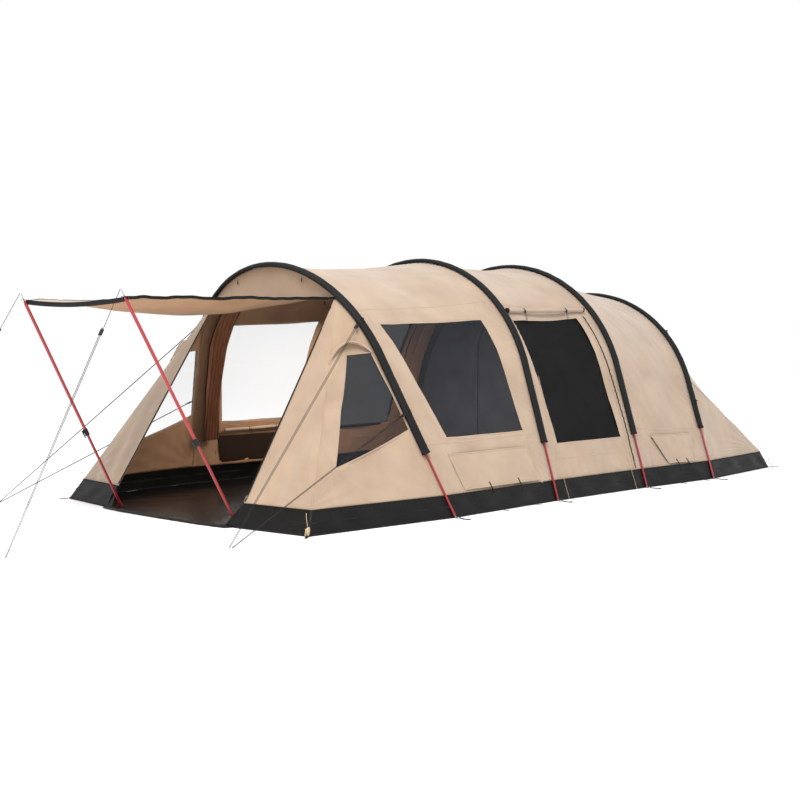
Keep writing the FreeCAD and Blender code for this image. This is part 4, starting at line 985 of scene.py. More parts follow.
def ground_line(u, start, low_point, corner):
    """Foot under u: from low_point to the corner at RIDGE_U, along the back to the middle, then mirrored."""
    m = np.minimum(u, 1 - u)
    k_side = np.clip((m - start) / (RIDGE_U - start), 0, 1)[:, None]
    k_back = np.clip((m - RIDGE_U) / (0.5 - RIDGE_U), 0, 1)[:, None]
    foot = low_point + (corner - low_point) * k_side - np.array([corner[0], 0, 0]) * k_back
    return foot * np.stack([np.where(u <= 0.5, 1, -1), np.ones_like(u), np.ones_like(u)], -1)


u_rear = float(hoop_u(3, SKIRT_TOP))
u = np.r_[np.linspace(u_rear, RIDGE_U, 60)[:-1], np.linspace(RIDGE_U, 0.5, 90)]
u = np.r_[u, 1 - u[-2::-1]]
top_edge = hoop(3, u, CLOTH_OFF) + REAR * 0.0006
foot_edge = ground_line(u, u_rear, rear_leg, REAR_TOP)
r = np.linspace(0, 1, 120)[None]
rear_smooth = mix(top_edge[:, None], foot_edge[:, None], r)
walked = (u * ROUND)[:, None]
m = np.minimum(u, 1 - u)[:, None]
rear_sag = -0.016 * np.sin(np.pi * r) * np.clip(np.abs(m - RIDGE_U) * 12, 0, 1)
rear_relief = (ripples(walked, r * 2, 131, 0.5, 0.004) + pleats(r * 2, walked, 0.036, 0.06, 0.0024)
               + pleats((1 - r) * 2, walked, 0.09, 0.09, 0.0022)
               + fan(walked, r * 2, (RIDGE_U * ROUND, 2.0), 30, 0.25, 0.003)
               + fan(walked, r * 2, ((1 - RIDGE_U) * ROUND, 2.0), 30, 0.25, 0.003))
rear_cloth = pushed(rear_smooth, rear_sag + rear_relief * np.minimum(1, np.minimum(r, 1 - r) * 14))
canvas("rear_cloth", rear_cloth, "rear_wall", cut_size(rear_smooth), ["arch_pole_4"])
ridge_row = int(np.abs(u - RIDGE_U).argmin())
rear_ridge = carried(rear_cloth[ridge_row] + [0.0012, 0.0006, 0.0006], tape(0.010, 0.0016), (0.6, 0.6, 0.5))
trim("rear_seams", both([rear_ridge]), sand, "fly_sand")

# %% [markdown]
# ## Inner tent
# The bedroom is a light dark cloth that hangs on short straps inside the last bay, so it sags between
# them in scallops. Its front wall is flat with a large zipped door, and the door is a piece of its own on
# its hinge.

# %% Inner tent body
IN_Y, IN_OFF, IN_FLOOR = HOOP_Y[2] + 0.070 + MIDDLE, -0.110, 0.06
IN_REAR_OFF = IN_OFF - 0.03
IN_CORNER = np.array([1.380, 4.985 + MIDDLE, IN_FLOOR])
IN_MIDDLE = (0, 2.0, 0.6)                          # a point inside the bedroom
STRAP_PITCH = 0.115                                # hanging straps' distance, in u
DOOR_HALF, DOOR_LOW, DOOR_HIGH = 0.45, 0.19, 1.69
u_in = max(float(hoop_u(2, IN_FLOOR, IN_OFF)), float(hoop_u(3, IN_FLOOR, IN_REAR_OFF)))
u = np.linspace(u_in, 1 - u_in, 200)
near, far = hoop(2, u, IN_OFF), hoop(3, u, IN_REAR_OFF)
near[:, 1] = IN_Y
t = np.linspace(0, 1, 40)[None]
scallop = -0.028 * np.sin(np.pi * t) * np.abs(np.sin(np.pi * (u[:, None] - u_in) / STRAP_PITCH)) ** 0.7
inner_body = pushed(mix(near[:, None], far[:, None], t),
                    scallop + ripples(u[:, None] * ROUND, t, 141, 0.3, 0.005), IN_MIDDLE)
foot = ground_line(u, u_in, far[0], IN_CORNER)
t = np.linspace(0, 1, 50)[None]
slack = -0.03 * np.sin(np.pi * t) + ripples(u[:, None] * 5, t, 142, 0.4, 0.006) * np.sin(np.pi * t)
inner_rear = pushed(mix(far[:, None], foot[:, None], t), slack, IN_MIDDLE)
zs = np.linspace(IN_FLOOR, float(near[100, 2]) - 0.002, 90)
width = np.interp(zs, near[:101, 2], near[:101, 0])
s = np.linspace(-1, 1, 120)[None]
wall = np.stack([s * width[:, None], np.full((90, 120), IN_Y - 0.001), np.repeat(zs[:, None], 120, 1)], -1)
x, z = wall[..., 0], wall[..., 2]
door_hole = (np.abs(x) < DOOR_HALF) & (z > DOOR_LOW) & (z < DOOR_HIGH)
hole_cells = door_hole[:-1, :-1] & door_hole[1:, 1:] & door_hole[:-1, 1:] & door_hole[1:, :-1]
still = np.minimum(1, (1 - np.abs(s)) * 8) * np.where(door_hole | (np.abs(x) < 0.50), 0.2, 1)
wall[..., 1] += (ripples(x, z, 143, 0.5, 0.008) + fan(x, z, (0, 2.0), 20, 0.4, 0.004)) * still
for name, grid, keep in (("inner_tent_body", inner_body, None), ("inner_tent_rear", inner_rear, None),
                         ("inner_tent_front", wall, ~hole_cells)):
    item = grid if keep is None else (grid, keep)
    piece = mesh_piece(name, [item], inner_cloth, away=(0, 2.2, 0.8), thick=INNER_WALL)
    settle(piece, "tent", ["inner_tent"], "inner_grey", "hung", *cut_size(grid, keep),
           ["pole_sleeve_3_cloth"])
edge_line = np.stack([width - 0.045, np.full_like(zs, IN_Y - 0.010), zs], -1)[:84]
edging = [carried(mirror(edge_line, side), tape(0.085, 0.002), (0, -1.0, 0)) for side in SIDES.values()]
trim("inner_tent_edging", edging, webbing, "inner_grey")

# %% Inner door and bedroom floor
ARCH_R, ARCH_Z, ZIP_LOW = 0.43, 1.24, 0.21         # the door zip: two straight sides and a half circle
z, x = np.meshgrid(np.linspace(0.178, 1.702, 80), np.linspace(-0.462, 0.462, 50), indexing="ij")
door = np.stack([x, np.full_like(z, IN_Y - 0.0044) + ripples(x, z, 151, 0.4, 0.0012), z], -1)
panel = mesh_piece("inner_door_cloth", [door], inner_cloth, away=(0, 3, 0.8), thick=INNER_WALL)
settle(panel, "inner_door_body", ["inner_door"], "inner_grey", "hung", *cut_size(door), ["inner_tent_front"])
arc, side_z = np.linspace(0, np.pi, 40), np.linspace(ZIP_LOW, ARCH_Z, 40)
d_line = np.concatenate([np.stack([np.full(40, ARCH_R), side_z], -1),
                         np.stack([ARCH_R * np.cos(arc), ARCH_Z + ARCH_R * np.sin(arc)], -1)[1:],
                         np.stack([np.full(39, -ARCH_R), side_z[-2::-1]], -1)])
d_path = np.stack([d_line[:, 0], np.full(len(d_line), IN_Y - 0.0068), d_line[:, 1]], -1)
trim("inner_door_zip", [carried(d_path, tape(0.014, 0.0015), (0, -1, 0))], webbing, "zip_black",
     "inner_door_body")
xs, ys = np.meshgrid(np.linspace(-1, 1, 90), np.linspace(IN_Y + 0.006, IN_CORNER[1] - 0.008, 90),
                     indexing="ij")
w_floor = np.interp(ys, [IN_Y, HOOP_Y[3] + MIDDLE, IN_CORNER[1]], [1.50, 1.52, 1.375])
bed = np.stack([xs * w_floor, ys, 0.0034 + np.abs(ripples(xs * 1.4, ys, 152, 0.4, 0.003))], -1)
piece = mesh_piece("bedroom_floor", [bed], ground_film, away=(0, 2, -5), thick=0.001)
settle(piece, "tent", ["inner_floor"], "sheet_grey", "laid", *cut_size(bed), ["ground_sheet"])

# %% [markdown]
# ## The raised door
# The doorway's cloth is held out on two poles as an awning. Between the header, the two tip eyes and its
# taut sides it hangs like a hammock: the sag is greatest in the middle. Its sides carry the zip tapes and
# its front a black hem.

# %% Awning
HINGE = np.array([0.0, -0.4035 + MIDDLE, HEADER_Z - 0.004])
TIP_X, TIP_Y, TIP_Z = 0.676, -2.300 + MIDDLE, 1.6815
AWNING_LENGTH = math.hypot(TIP_Y - HINGE[1], TIP_Z - HINGE[2])
UNDER_AWNING = (0, -3, -3)                         # a point that the raised door's faces look away from
forward = unit([0, TIP_Y - HINGE[1], TIP_Z - HINGE[2]])
raised = np.array([0, -forward[2], forward[1]]) * (1 if forward[1] > 0 else -1)


def awning_at(x, s, off=0.0):
    """Point of the raised door: x is -1 to 1 across, s metres from the header; hammock sag plus rumples."""
    k = s / AWNING_LENGTH
    half = HEADER_X + (TIP_X - HEADER_X) * s / AWNING_LENGTH
    sag = 0.128 * (1 - np.abs(x) ** 2.2) * np.sin(np.pi * np.clip(k, 0, 1) ** 0.9) ** 0.9
    sag = sag + 0.030 * (1 - x ** 2) * k ** 6
    rumple = ripples(x * 0.7, s, 161, 0.4, 0.004) + pleats(1 - np.abs(x), s, 0.16, 0.10, 0.0015, 162) \
        + 0.012 * np.exp(-((k - 0.93) / 0.05) ** 2) * np.abs(x) ** 6
    still = np.minimum(1, k * 12) * np.minimum(1, (1 - k) * 14 + 0.05)
    return HINGE + np.stack([x * half, np.zeros_like(s), np.zeros_like(s)], -1) + forward * s[..., None] \
        + raised * (rumple * still - sag + off)[..., None]


x, s = np.meshgrid(np.linspace(-1, 1, 90), np.linspace(0.004, AWNING_LENGTH - 0.033, 130), indexing="ij")
awning_cloth = awning_at(x, s)
awning_cut = cut_size(awning_cloth)
canvas("awning_cloth", awning_cloth, "awning_panel", awning_cut, ["front_header_tape"], "awning",
       away=UNDER_AWNING)
x, s = np.meshgrid(np.linspace(-1, 1, 90), np.linspace(AWNING_LENGTH - 0.036, AWNING_LENGTH - 0.002, 5),
                   indexing="ij")
hem = mesh_piece("awning_hem_cloth", [awning_at(x, s, 0.0012)], sleeve_black, away=UNDER_AWNING, thick=0.003)
settle(hem, "awning", ["awning_hem"], "webbing_black")
s = np.linspace(0.006, AWNING_LENGTH - 0.004, 160)
zips = [carried(awning_at(np.full_like(s, side), s, 0.0006), tape(0.020, 0.0025), raised)
        for side in (-1.0, 1.0)]
for side in (-1.0, 1.0):
    side_line = awning_at(np.full_like(s[4:], side), s[4:], -0.010) + np.array([side * 0.003, 0, 0])
    zips.append(carried(side_line, tape(0.022, 0.0022), (1.0, 0, 0)))
x = np.linspace(-1, 1, 120)
zips.append(carried(awning_at(x, np.full_like(x, AWNING_LENGTH - 0.003), -0.015), tape(0.036, 0.0025),
                    (0, -1.0, 0.1)))
trim("awning_zip_tapes", zips, sleeve_black, "zip_black", "awning")
print("awning cut", np.round(awning_cut[0], 2))

# %% [markdown]
# ## Curtains and the mudwall's hems
# Beside each front window a curtain is drawn back against the hoop and hangs in deep folds with dark
# bound edges. Its width is gathered, so its cut is much wider than the strip it fills. The mudwall has a
# tape where it is sewn to the sand cloth, a welted fold half way down and a hem at the ground.

# %% Curtains
CURTAIN_T, CURTAIN_U = (0.035, 0.150), (0.088, 0.405)
t, u = np.meshgrid(np.linspace(*CURTAIN_T, 90), np.linspace(*CURTAIN_U, 90), indexing="xy")
deep = 0.45 + 0.55 * np.clip((CURTAIN_U[1] - u) / 0.1, 0, 1)
folds = 0.014 * deep * np.sin(2 * np.pi * t / 0.0235 + 1.3 * np.sin(u * 21)) \
    + ripples(t * 1.4, u * ROUND, 191, 0.3, 0.003)
drift = 0.010 * np.sin(u * 26) * (t - CURTAIN_T[0]) / 0.115
curtain = bay(0, u, t + drift, CLOTH_OFF - 0.060 + folds)
flat, area = cut_size(curtain)
edges = [carried(curtain[:, k], tape(0.022, 0.004), (-1.0, 0, 0.3)) for k in (1, -2)]
for name, side in SIDES.items():
    drape = mesh_piece(f"curtain_{name}", [mirror(curtain, side)], curtain_brown, away=None, thick=0.001)
    settle(drape, "tent", slot="fly_sand", held="gathered", flat=flat, area=area,
           rests_on=["fly_bay_1_cloth"])
    trim(f"curtain_edges_{name}", [mirror(g, side) for g in edges], curtain_binding, "fly_sand")

# %% Mudwall hems
hems = []
for height, wide in ((0.985, 0.009), (0.50, 0.011), (0.035, 0.012)):
    row = mix(foot_line, top_line, np.full(len(mud_s), height)) + side_way * 0.0030
    hems.append(carried(row[4:-3], tape(wide, 0.0026), side_way[4:-3]))
trim("mudwall_hems", both(hems), webbing, "skirt_black")

# %% [markdown]
# ## Rolled cloth
# The side doors' covers are rolled up and tied over the netting, and the blinds are rolled under the
# windows inside. A roll is a spiral: a circle whose radius swells and drops once a turn where the free
# edge lies, carried along its line, a little thicker in the middle and pinched where a tie goes round it.

# %% Rolls and ties
ROLL_STEPS = 90
DOOR_TIES, BLIND_TIES = (0.2, 0.75), (0.33, 0.7)   # shares of a roll's length
ROLL_OUT = unit([0.72, 0, 0.69])


def roll(a, b, radius, sag, ties, seed, lip_at=0.6):
    """Spiral roll from a to b: radius * (1 + lip), pinched at the ties (shares of the length)."""
    k = np.linspace(0, 1, ROLL_STEPS)[:, None]
    path = np.array(a) * (1 - k) + np.array(b) * k + np.array([0, 0, -1]) * sag * np.sin(np.pi * k)
    turn = np.linspace(0, 2 * np.pi, 33)[None]
    lip = 0.11 * np.exp(-(((turn - lip_at) % (2 * np.pi)) / 0.5))
    size = radius * (0.93 + lip + ripples(k * 1.0, turn * 0.06, seed, 0.2, 0.02))
    size = size * (1 - sum(0.22 * np.exp(-((k - t) / 0.012) ** 2) for t in ties))
    size[:, -1] = size[:, 0]
    outline = size[..., None] * np.stack([np.cos(turn), np.sin(turn)], -1)
    return carried(path, outline, (0.0, 0, 1.0)), path


def loop_round(centre, along, radius, width=0.011):
    """A tape tied round a roll."""
    a = np.linspace(0, 2 * np.pi, 25)
    side = unit(np.cross(along, (0, 0, 1)))
    over = unit(np.cross(side, along))
    ring = centre + radius * (np.cos(a)[:, None] * side + np.sin(a)[:, None] * over)
    return carried(ring, tape(width, 0.0015), unit(ring - centre), caps=False)


ends = [bay(1, np.array(u_), np.array(t_)) + ROLL_OUT * 0.026 for u_, t_ in ((0.300, 0.045), (0.305, 0.90))]
roll_grid, roll_path = roll(*ends, 0.0215, 0.004, DOOR_TIES, 171)
blind_ends = [bay(0, np.array(u_), np.array(t_), -0.044) for u_, t_ in ((0.102, 0.22), (0.099, 0.84))]
blind_grid, blind_path = roll(*blind_ends, 0.0155, 0.004, BLIND_TIES, 172, 2.4)
along, blind_along = unit(ends[1] - ends[0]), unit(blind_ends[1] - blind_ends[0])
ties = [loop_round(roll_path[int(ROLL_STEPS * k)], along, 0.0205) for k in DOOR_TIES]
ties += [loop_round(blind_path[int(ROLL_STEPS * k)], blind_along, 0.0150, 0.008) for k in BLIND_TIES]
for p, long in ((ends[0] - along * 0.010, 0.018), (ends[1] - along * 0.004, 0.016)):
    ties.append(carried(line([p, p + along * long], 0.01), round_bar(0.023, 20), (0, 0, 1)))
for name, side in SIDES.items():
    trim(f"side_door_roll_{name}", [mirror(roll_grid, side)], sand, "fly_sand", nodes=["side_door_rolls"])
    trim(f"window_blind_{name}", [mirror(blind_grid, side)], sand, "fly_sand", nodes=["window_blinds"])
    trim(f"roll_ties_{name}", [mirror(g, side) for g in ties], webbing, "webbing_black")


# %% Cord ends on the rolls
def dangle(p, length, seed, side_way=(0.3, 0.0), radius=0.0014):
    """A short limp cord end hanging from p, with a small kink."""
    k = np.linspace(0, 1, 12)[:, None]
    kink = np.random.default_rng(seed).uniform(-0.25, 0.25)
    path = np.asarray(p) + np.array([0, 0, -1.0]) * length * k \
        + length * np.array([side_way[0], side_way[1] + kink, 0]) * np.sin(k * 2.4) * 0.5
    return carried(path, round_bar(radius, 6), (0, 1, 0.1))


DANGLES = [(k, d) for k in DOOR_TIES for d in (-0.01, 0.012)]
cord_ends = [dangle(roll_path[int(ROLL_STEPS * k)] + [0.020, d, -0.008], 0.11 + 0.03 * d * 20, 5 + j)
             for j, (k, d) in enumerate(DANGLES)]
cord_ends += [dangle(blind_path[30] + [-0.016, 0, 0.0], 0.09, 9, (-0.1, 0.3)),
              dangle(blind_path[30] + [-0.016, 0.01, 0.0], 0.07, 10, (-0.1, -0.3))]
trim("tie_cords", both(cord_ends), webbing, "webbing_black")

# %% [markdown]
# ## Toggles
# A toggle is a short turned barrel on a loop of cord: radius 5 mm, rounded ends, a waist where the cord
# is knotted. Black ones hang from the gable, the header and the rolls, and a beige bundle of spare line
# and toggles hangs at the right front corner.

# %% Toggles and the corner bundle
THIN_CORD, ROPE = round_bar(0.0014, 6), round_bar(0.0021, 7)


def barrel(a, b, radius, sides=14):
    """Turned barrel from a to b: radius * sqrt(1 - (2k - 1)^6) with a waist in the middle."""
    k = np.linspace(0, 1, 17)[:, None]
    path = np.asarray(a) * (1 - k) + np.asarray(b) * k
    waist = 0.25 * np.exp(-((k - 0.5) / 0.08) ** 2)
    size = radius * (np.sqrt(np.clip(1 - (2 * k - 1) ** 6, 0.02, 1)) - waist)
    return carried(path, size[..., None] * round_bar(1.0, sides)[None], (0.3, 0.9, 0.1))


def hung_toggle(p, top, foot, cord_top):
    """A toggle from height top to height foot about p, on a thin cord that starts at cord_top."""
    cord_line = line([p + [0, 0, cord_top], p + [0, 0, -0.018]], 0.01)
    return [barrel(p + [0, 0, top], p + [0, 0, foot], 0.0045), carried(cord_line, THIN_CORD, (0, 1, 0))]


toggles = []
for u_ in (0.425, 0.575):
    toggles += hung_toggle(hoop(0, u_, -0.045) + FRONT * 0.009, -0.004, -0.036, 0.012)
for x_ in (-0.6, 0.6):
    toggles += hung_toggle(np.array([x_, -0.3985 + 0.030 + MIDDLE, HEADER_Z - 0.030]), 0, -0.034, 0.014)
for k in DOOR_TIES:
    p = roll_path[int(ROLL_STEPS * k)] + [0.0255, 0, 0.006]
    toggles += both([barrel(p, p + [0.004, 0, -0.034], 0.005)])
trim("small_toggles", toggles, nylon, "clamp_black", nodes=["toggles"])
cx, cy = CORNER[0] + 0.020, CORNER[1] - 0.024
bundle = [barrel((cx, cy, 0.010), (cx - 0.002, cy, 0.070), 0.0075),
          barrel((cx - 0.018, cy - 0.006, 0.006), (cx - 0.012, cy - 0.004, 0.062), 0.0065)]
a = np.linspace(0, 2 * np.pi, 40)
for j in range(7):
    loop_r = 0.012 + 0.0015 * (j % 3)
    ring = np.stack([cx - 0.006 + loop_r * np.cos(a) * 0.8, cy + 0.004 + 0.004 * j * 0.4 + 0.004 * np.sin(a),
                     0.040 + loop_r * 2.0 * np.sin(a)], -1)
    bundle.append(carried(ring, ROPE, (0.1, 1, 0.1), caps=False))
tail_rope = line([(cx - 0.008, cy + 0.006, 0.075), (CORNER[0] - 0.008, CORNER[1] - 0.012, 0.130),
                  (CORNER[0] - 0.016, CORNER[1] - 0.004, SKIRT_TOP)], 0.008)
bundle.append(carried(tail_rope, ROPE, (0.1, 1, 0.1)))
trim("corner_bundle", bundle, toggle_beige, "guy_cord")

# %% [markdown]
# ## Vent flaps
# Over each low vent hangs a flap that a stiff batten holds a little off the wall. It bellies out in the
# middle, is hemmed all round, and two black tabs on its lower edge are tied down to the ground with
# elastic.

# %% Vent flaps
FLAPS = {1: (0, (.090, .17), (.086, .83), (.036, .86), (.038, .19)),
         3: (2, (.085, .25), (.087, .84), (.037, .80), (.037, .40))}


def flap_corners(i, *corners):
    """Four corners (u, t) of a flap put in the plane that hangs off the wall, and that plane's normal."""
    a, b, c, d = (bay(i, np.array(u_), np.array(t_)) for u_, t_ in corners)
    n = unit(np.cross(b - a, d - a))
    n = n if n[0] > 0 else -n
    a, b = a + n * 0.009, b + n * 0.009
    m, e = (c + d) / 2 + n * 0.010, unit(b - a)
    down = unit(m - (a + b) / 2)
    down = unit(down - e * down.dot(e))
    normal = unit(np.cross(e, down))
    normal = normal if normal[0] > 0 else -normal
    h = (m - (a + b) / 2).dot(down)
    return a, b, a + e * (c - a).dot(e) + down * h, a + e * (d - a).dot(e) + down * h, normal


r, c = np.linspace(0, 1, 26)[:, None], np.linspace(0, 1, 70)[None]
for number, spec in FLAPS.items():
    top_left, top_right, foot_right, foot_left, normal = flap_corners(*spec)
    belly = 0.006 * np.sin(np.pi * c) * np.sin(np.pi * r * 0.8)
    belly = belly + ripples(c * 0.9, r * 0.3, 180 + number, 0.15, 0.0012)
    flap = patch(top_left, top_right, foot_left, foot_right, 26, 70)
    flap = flap + normal * (0.0015 + np.abs(belly))[..., None]
    edge_path = np.concatenate([flap[:, 0], flap[-1, 1:], flap[::-1, -1][1:]])
    hems = [carried(edge_path + normal * 0.0008, tape(0.012, 0.0022), normal),
            carried(flap[0] + normal * 0.0006, tape(0.010, 0.0022), normal)]
    tabs, fall = [], unit(foot_left - top_left) * 0.035
    for k in (0.33, 0.72):
        p = flap[-1, int(70 * k)] + normal * 0.003
        low = p + fall
        tabs.append(carried(line([p - fall, p, low], 0.006), tape(0.012, 0.0028), normal))
        loop = line([low, low + [0.012, 0.004, -0.05], [low[0] + 0.022, low[1] + 0.004, 0.006]], 0.008)
        tabs.append(carried(loop, round_bar(0.0018, 6), (0.1, 1, 0)))
    for name, side in SIDES.items():
        body, title = f"flap_{number}_{name}", f"vent_flap_{number}_{name}"
        canvas(f"{title}_cloth", mirror(flap, side), title, cut_size(flap), ["fly_bay_1_cloth"], body, "hung",
               thick=0.0014)
        trim(f"{title}_hem", [mirror(g, side) for g in hems], sand, "fly_sand", body)
        trim(f"{title}_tabs", [mirror(g, side) for g in tabs], webbing, "webbing_black", body)

# %% [markdown]
# ## Zips
# A coil zip is a woven tape with a row of small nylon turns down its middle. The turns are 3 mm apart
# here. The tape is a flat outline carried along the zip's line, and the coil a small tube whose radius
# follows |sin|.

# %% Zip tapes and coils
TURN = 0.003                                       # metres between the coil's turns
SIDE_ZIP = [(.89, .295), (.90, .225), (.93, .17), (.938, .113), (.935, .034)]      # (t, u) down the side door


def zip_grids(path, up, width=0.016):
    """Tape and coil along a path; the coil's radius is 1.6 to 2.4 mm, one swell for each turn."""
    path = np.asarray(path)
    up = np.broadcast_to(up, path.shape)
    walked = np.r_[0, np.linalg.norm(np.diff(path, axis=0), axis=1).cumsum()]
    fine = np.arange(0, walked[-1], TURN / 2)
    pos = np.stack([np.interp(fine, walked, path[:, k]) for k in range(3)], -1)
    ups = unit(np.stack([np.interp(fine, walked, up[:, k]) for k in range(3)], -1))
    radius = 0.0016 + 0.0008 * np.abs(np.sin(np.pi * fine / TURN))
    coil = carried(pos + ups * 0.0012, radius[:, None, None] * round_bar(1.0, 6)[None], ups)
    return [carried(path, tape(width, 0.0016), up), coil]


jamb = at_height(JAMB_FOOT, JAMB_TOP, np.linspace(0.185, 1.640, 120)) + np.array([0.008, -0.0045, 0])
t, u = along_net(SIDE_ZIP, 0.010)
zip_up = outwards(1, t, u)
grids = zip_grids(jamb, unit([0, -1, 0.6])) + zip_grids(on_bay(1, t, u, 0.0032), zip_up)
cover = carried(on_bay(1, t - 0.022, u, 0.0022), tape(0.012, 0.002), zip_up)
for name, side in SIDES.items():
    trim(f"zips_{name}", [mirror(g, side) for g in grids], webbing, "zip_black", nodes=["zip_tapes"])
    trim(f"zip_cover_{name}", [mirror(cover, side)], sand, "fly_sand")

# %% [markdown]
# ## Webbing
# Flat black webbing holds the loads: patches with a ring on the front and rear hoops, straps with pegging
# loops at every hoop's foot, and longer straps at the corners. Each is a tape that rises, lies and turns
# as it would.

# %% Webbing tabs, straps and rings
PATCHES = ((0, 0.30), (0, 0.158), (3, 0.295), (3, 0.147))      # (hoop, u) of the guy patches
PEG_STATIONS = (0.600, 1.050, 3.250, 3.630)        # peg loops between the hoops, metres from the first hoop
WEB_LOW = 0.0028                                   # a strap's middle when it lies on the ground


def strap(points, width, thick, step=0.01, up=(0, 0, 1)):
    """Webbing of this width through the points."""
    return carried(line(points, step), tape(width, thick), up)


straps = []
for i, u_ in PATCHES:
    p, across, out = hoop_frame(i, np.array([u_]))
    along = unit(hoop(i, u_ + 0.004) - hoop(i, u_ - 0.004))
    k = np.linspace(-1, 1, 15)[:, None]
    arch_path = p + across * 0.040 * k + out * (0.0285 - 0.026 * np.abs(k) ** 3)
    straps.append(carried(arch_path, tape(0.050, 0.0022), out[0]))
    rise, run = np.array([[0, .010, .014, .010, 0], [-.010, -.009, 0, .009, .010]])[..., None]
    loop_path = p[0] + out[0] * 0.0298 + out[0] * rise + across[0] * run
    straps.append(carried(loop_path, tape(0.014, 0.0022), along))
for i in range(4):
    x_, y_ = HOOP_WIDTH[i] / 2, HOOP_Y[i] + MIDDLE
    straps.append(strap([(x_ + 0.052, y_, 0.004), (x_ + 0.075, y_, 0.0026), (x_ + 0.128, y_, 0.0026)],
                        0.025, 0.0024))
    a = np.linspace(0, 2 * np.pi, 30)
    eye_ring = np.stack([x_ + 0.136 + 0.010 * np.cos(a), y_ + 0.014 * np.sin(a), np.full(30, 0.0045)], -1)
    straps.append(carried(eye_ring, round_bar(0.0028, 7), (0, 0, 1), caps=False))
rear_way, rear_peg = unit([0.6, 0.8, 0]), REAR_CORNER + [0.008, 0.010, WEB_LOW]
straps.append(strap([rear_peg, rear_peg + rear_way * 0.09], 0.025, 0.0024))
straps.append(strap([REAR_CORNER + [-0.02, 0.006, 0.10], REAR_CORNER + [0.010, 0.012, 0.012],
                     rear_peg + rear_way * 0.04], 0.012, 0.002, up=(0.5, 0.6, 0.6)))
front_way, front_peg = unit([0.6, -0.8, 0]), CORNER + [0.006, -0.014, WEB_LOW]
straps.append(strap([front_peg, front_peg + front_way * 0.07], 0.023, 0.0024))
for station in PEG_STATIONS:
    i = 0 if station < HOOP_Y[1] else 2
    k = (station - HOOP_Y[i]) / (1.373 if i == 0 else 1.087)
    x_, y_ = HOOP_WIDTH[i] / 2 * (1 - k) + HOOP_WIDTH[i + 1] / 2 * k, station + MIDDLE
    straps.append(strap([(x_ + 0.002, y_, 0.02), (x_ + 0.012, y_, WEB_LOW), (x_ + 0.062, y_, WEB_LOW)],
                        0.012, 0.0022, 0.008, (0.3, 0, 1)))
trim("webbing_straps", both(straps), webbing, "webbing_black", nodes=["webbing_tabs"])

# %% [markdown]
# ## Cords that stay taut
# A guy line leaves its patch or the spike, goes down straight to its peg, turns there and comes back up
# to its runner. Its curve is a NURBS spline through a handful of control points, and pulled cord needs no
# more. The awning's two lines fall when the door comes down, so they are mesh tubes on the same curve.
# The side doors' netting is held down by four light elastic cords.

# %% Guy lines
GUY_WIDE = 0.004
GUYS = {
    "awning": [(0.6618, -3.8298, 1.7300), (0.8300, -4.8105, 0.0154), (0.8237, -4.8151, 0.0093),
               (0.8162, -4.8128, 0.0154), (0.6747, -3.9875, 1.4584)],
    "upper": [(1.0027, -1.8375, 1.5295), (1.5313, -3.5776, 0.0127), (1.5262, -3.5848, 0.0082),
              (1.5179, -3.5817, 0.0127), (0.9991, -1.8739, 1.5013)],
    "lower": [(1.3534, -1.6728, 0.8158), (1.5568, -3.5754, 0.0097), (1.5505, -3.5826, 0.0069),
              (1.5429, -3.5769, 0.0097), (1.3423, -1.7009, 0.8046)],
}


def cord_piece(name, points, diameter, finish):
    """A round cord on a NURBS spline with these control points."""
    data = bpy.data.curves.new(name, "CURVE")
    data.dimensions, data.resolution_u = "3D", 24
    data.bevel_depth, data.bevel_resolution, data.use_fill_caps = diameter / 2, 3, diameter > 0
    spline = data.splines.new("NURBS")
    spline.points.add(len(points) - 1)
    spline.points.foreach_set("co", np.c_[points, np.ones(len(points))].ravel())
    spline.order_u, spline.use_endpoint_u = 3, True
    data.materials.append(finish)
    piece = bpy.data.objects.new(name, data)
    bpy.context.scene.collection.objects.link(piece)
    return piece


def limp_tube(name, points, diameter, finish):
    """The same cord as a mesh tube, for one that falls: a profile carried along the spline's own points."""
    guide = cord_piece(name + "_line", points, 0.0, finish)
    bpy.context.view_layer.update()
    flat_mesh = bpy.data.meshes.new_from_object(guide.evaluated_get(bpy.context.evaluated_depsgraph_get()))
    path = np.array([v.co for v in flat_mesh.vertices])
    bpy.data.objects.remove(guide)
    tube = mesh_piece(name, [carried(path, round_bar(diameter / 2, 8), (1.0, 0.1, 0.1))], finish, away=None)
    return tube, [tuple(map(float, p)) for p in path]


def runner_copy(original, name):
    """The runner's own shape with its loose triangles merged, free to fall with its line."""
    mesh = original.data.copy()
    mesh.name = name
    shape = bmesh.new()
    shape.from_mesh(mesh)
    shape.transform(original.matrix_world)
    bmesh.ops.remove_doubles(shape, verts=shape.verts, dist=1e-6)
    shape.to_mesh(mesh)
    shape.free()
    piece = bpy.data.objects.new(name, mesh)
    mesh.materials.clear()
    mesh.materials.append(nylon)
    bpy.context.scene.collection.objects.link(piece)
    return piece


def run_length(points):
    """Length of the straight runs between the points."""
    return float(np.linalg.norm(np.diff(points, axis=0), axis=1).sum())


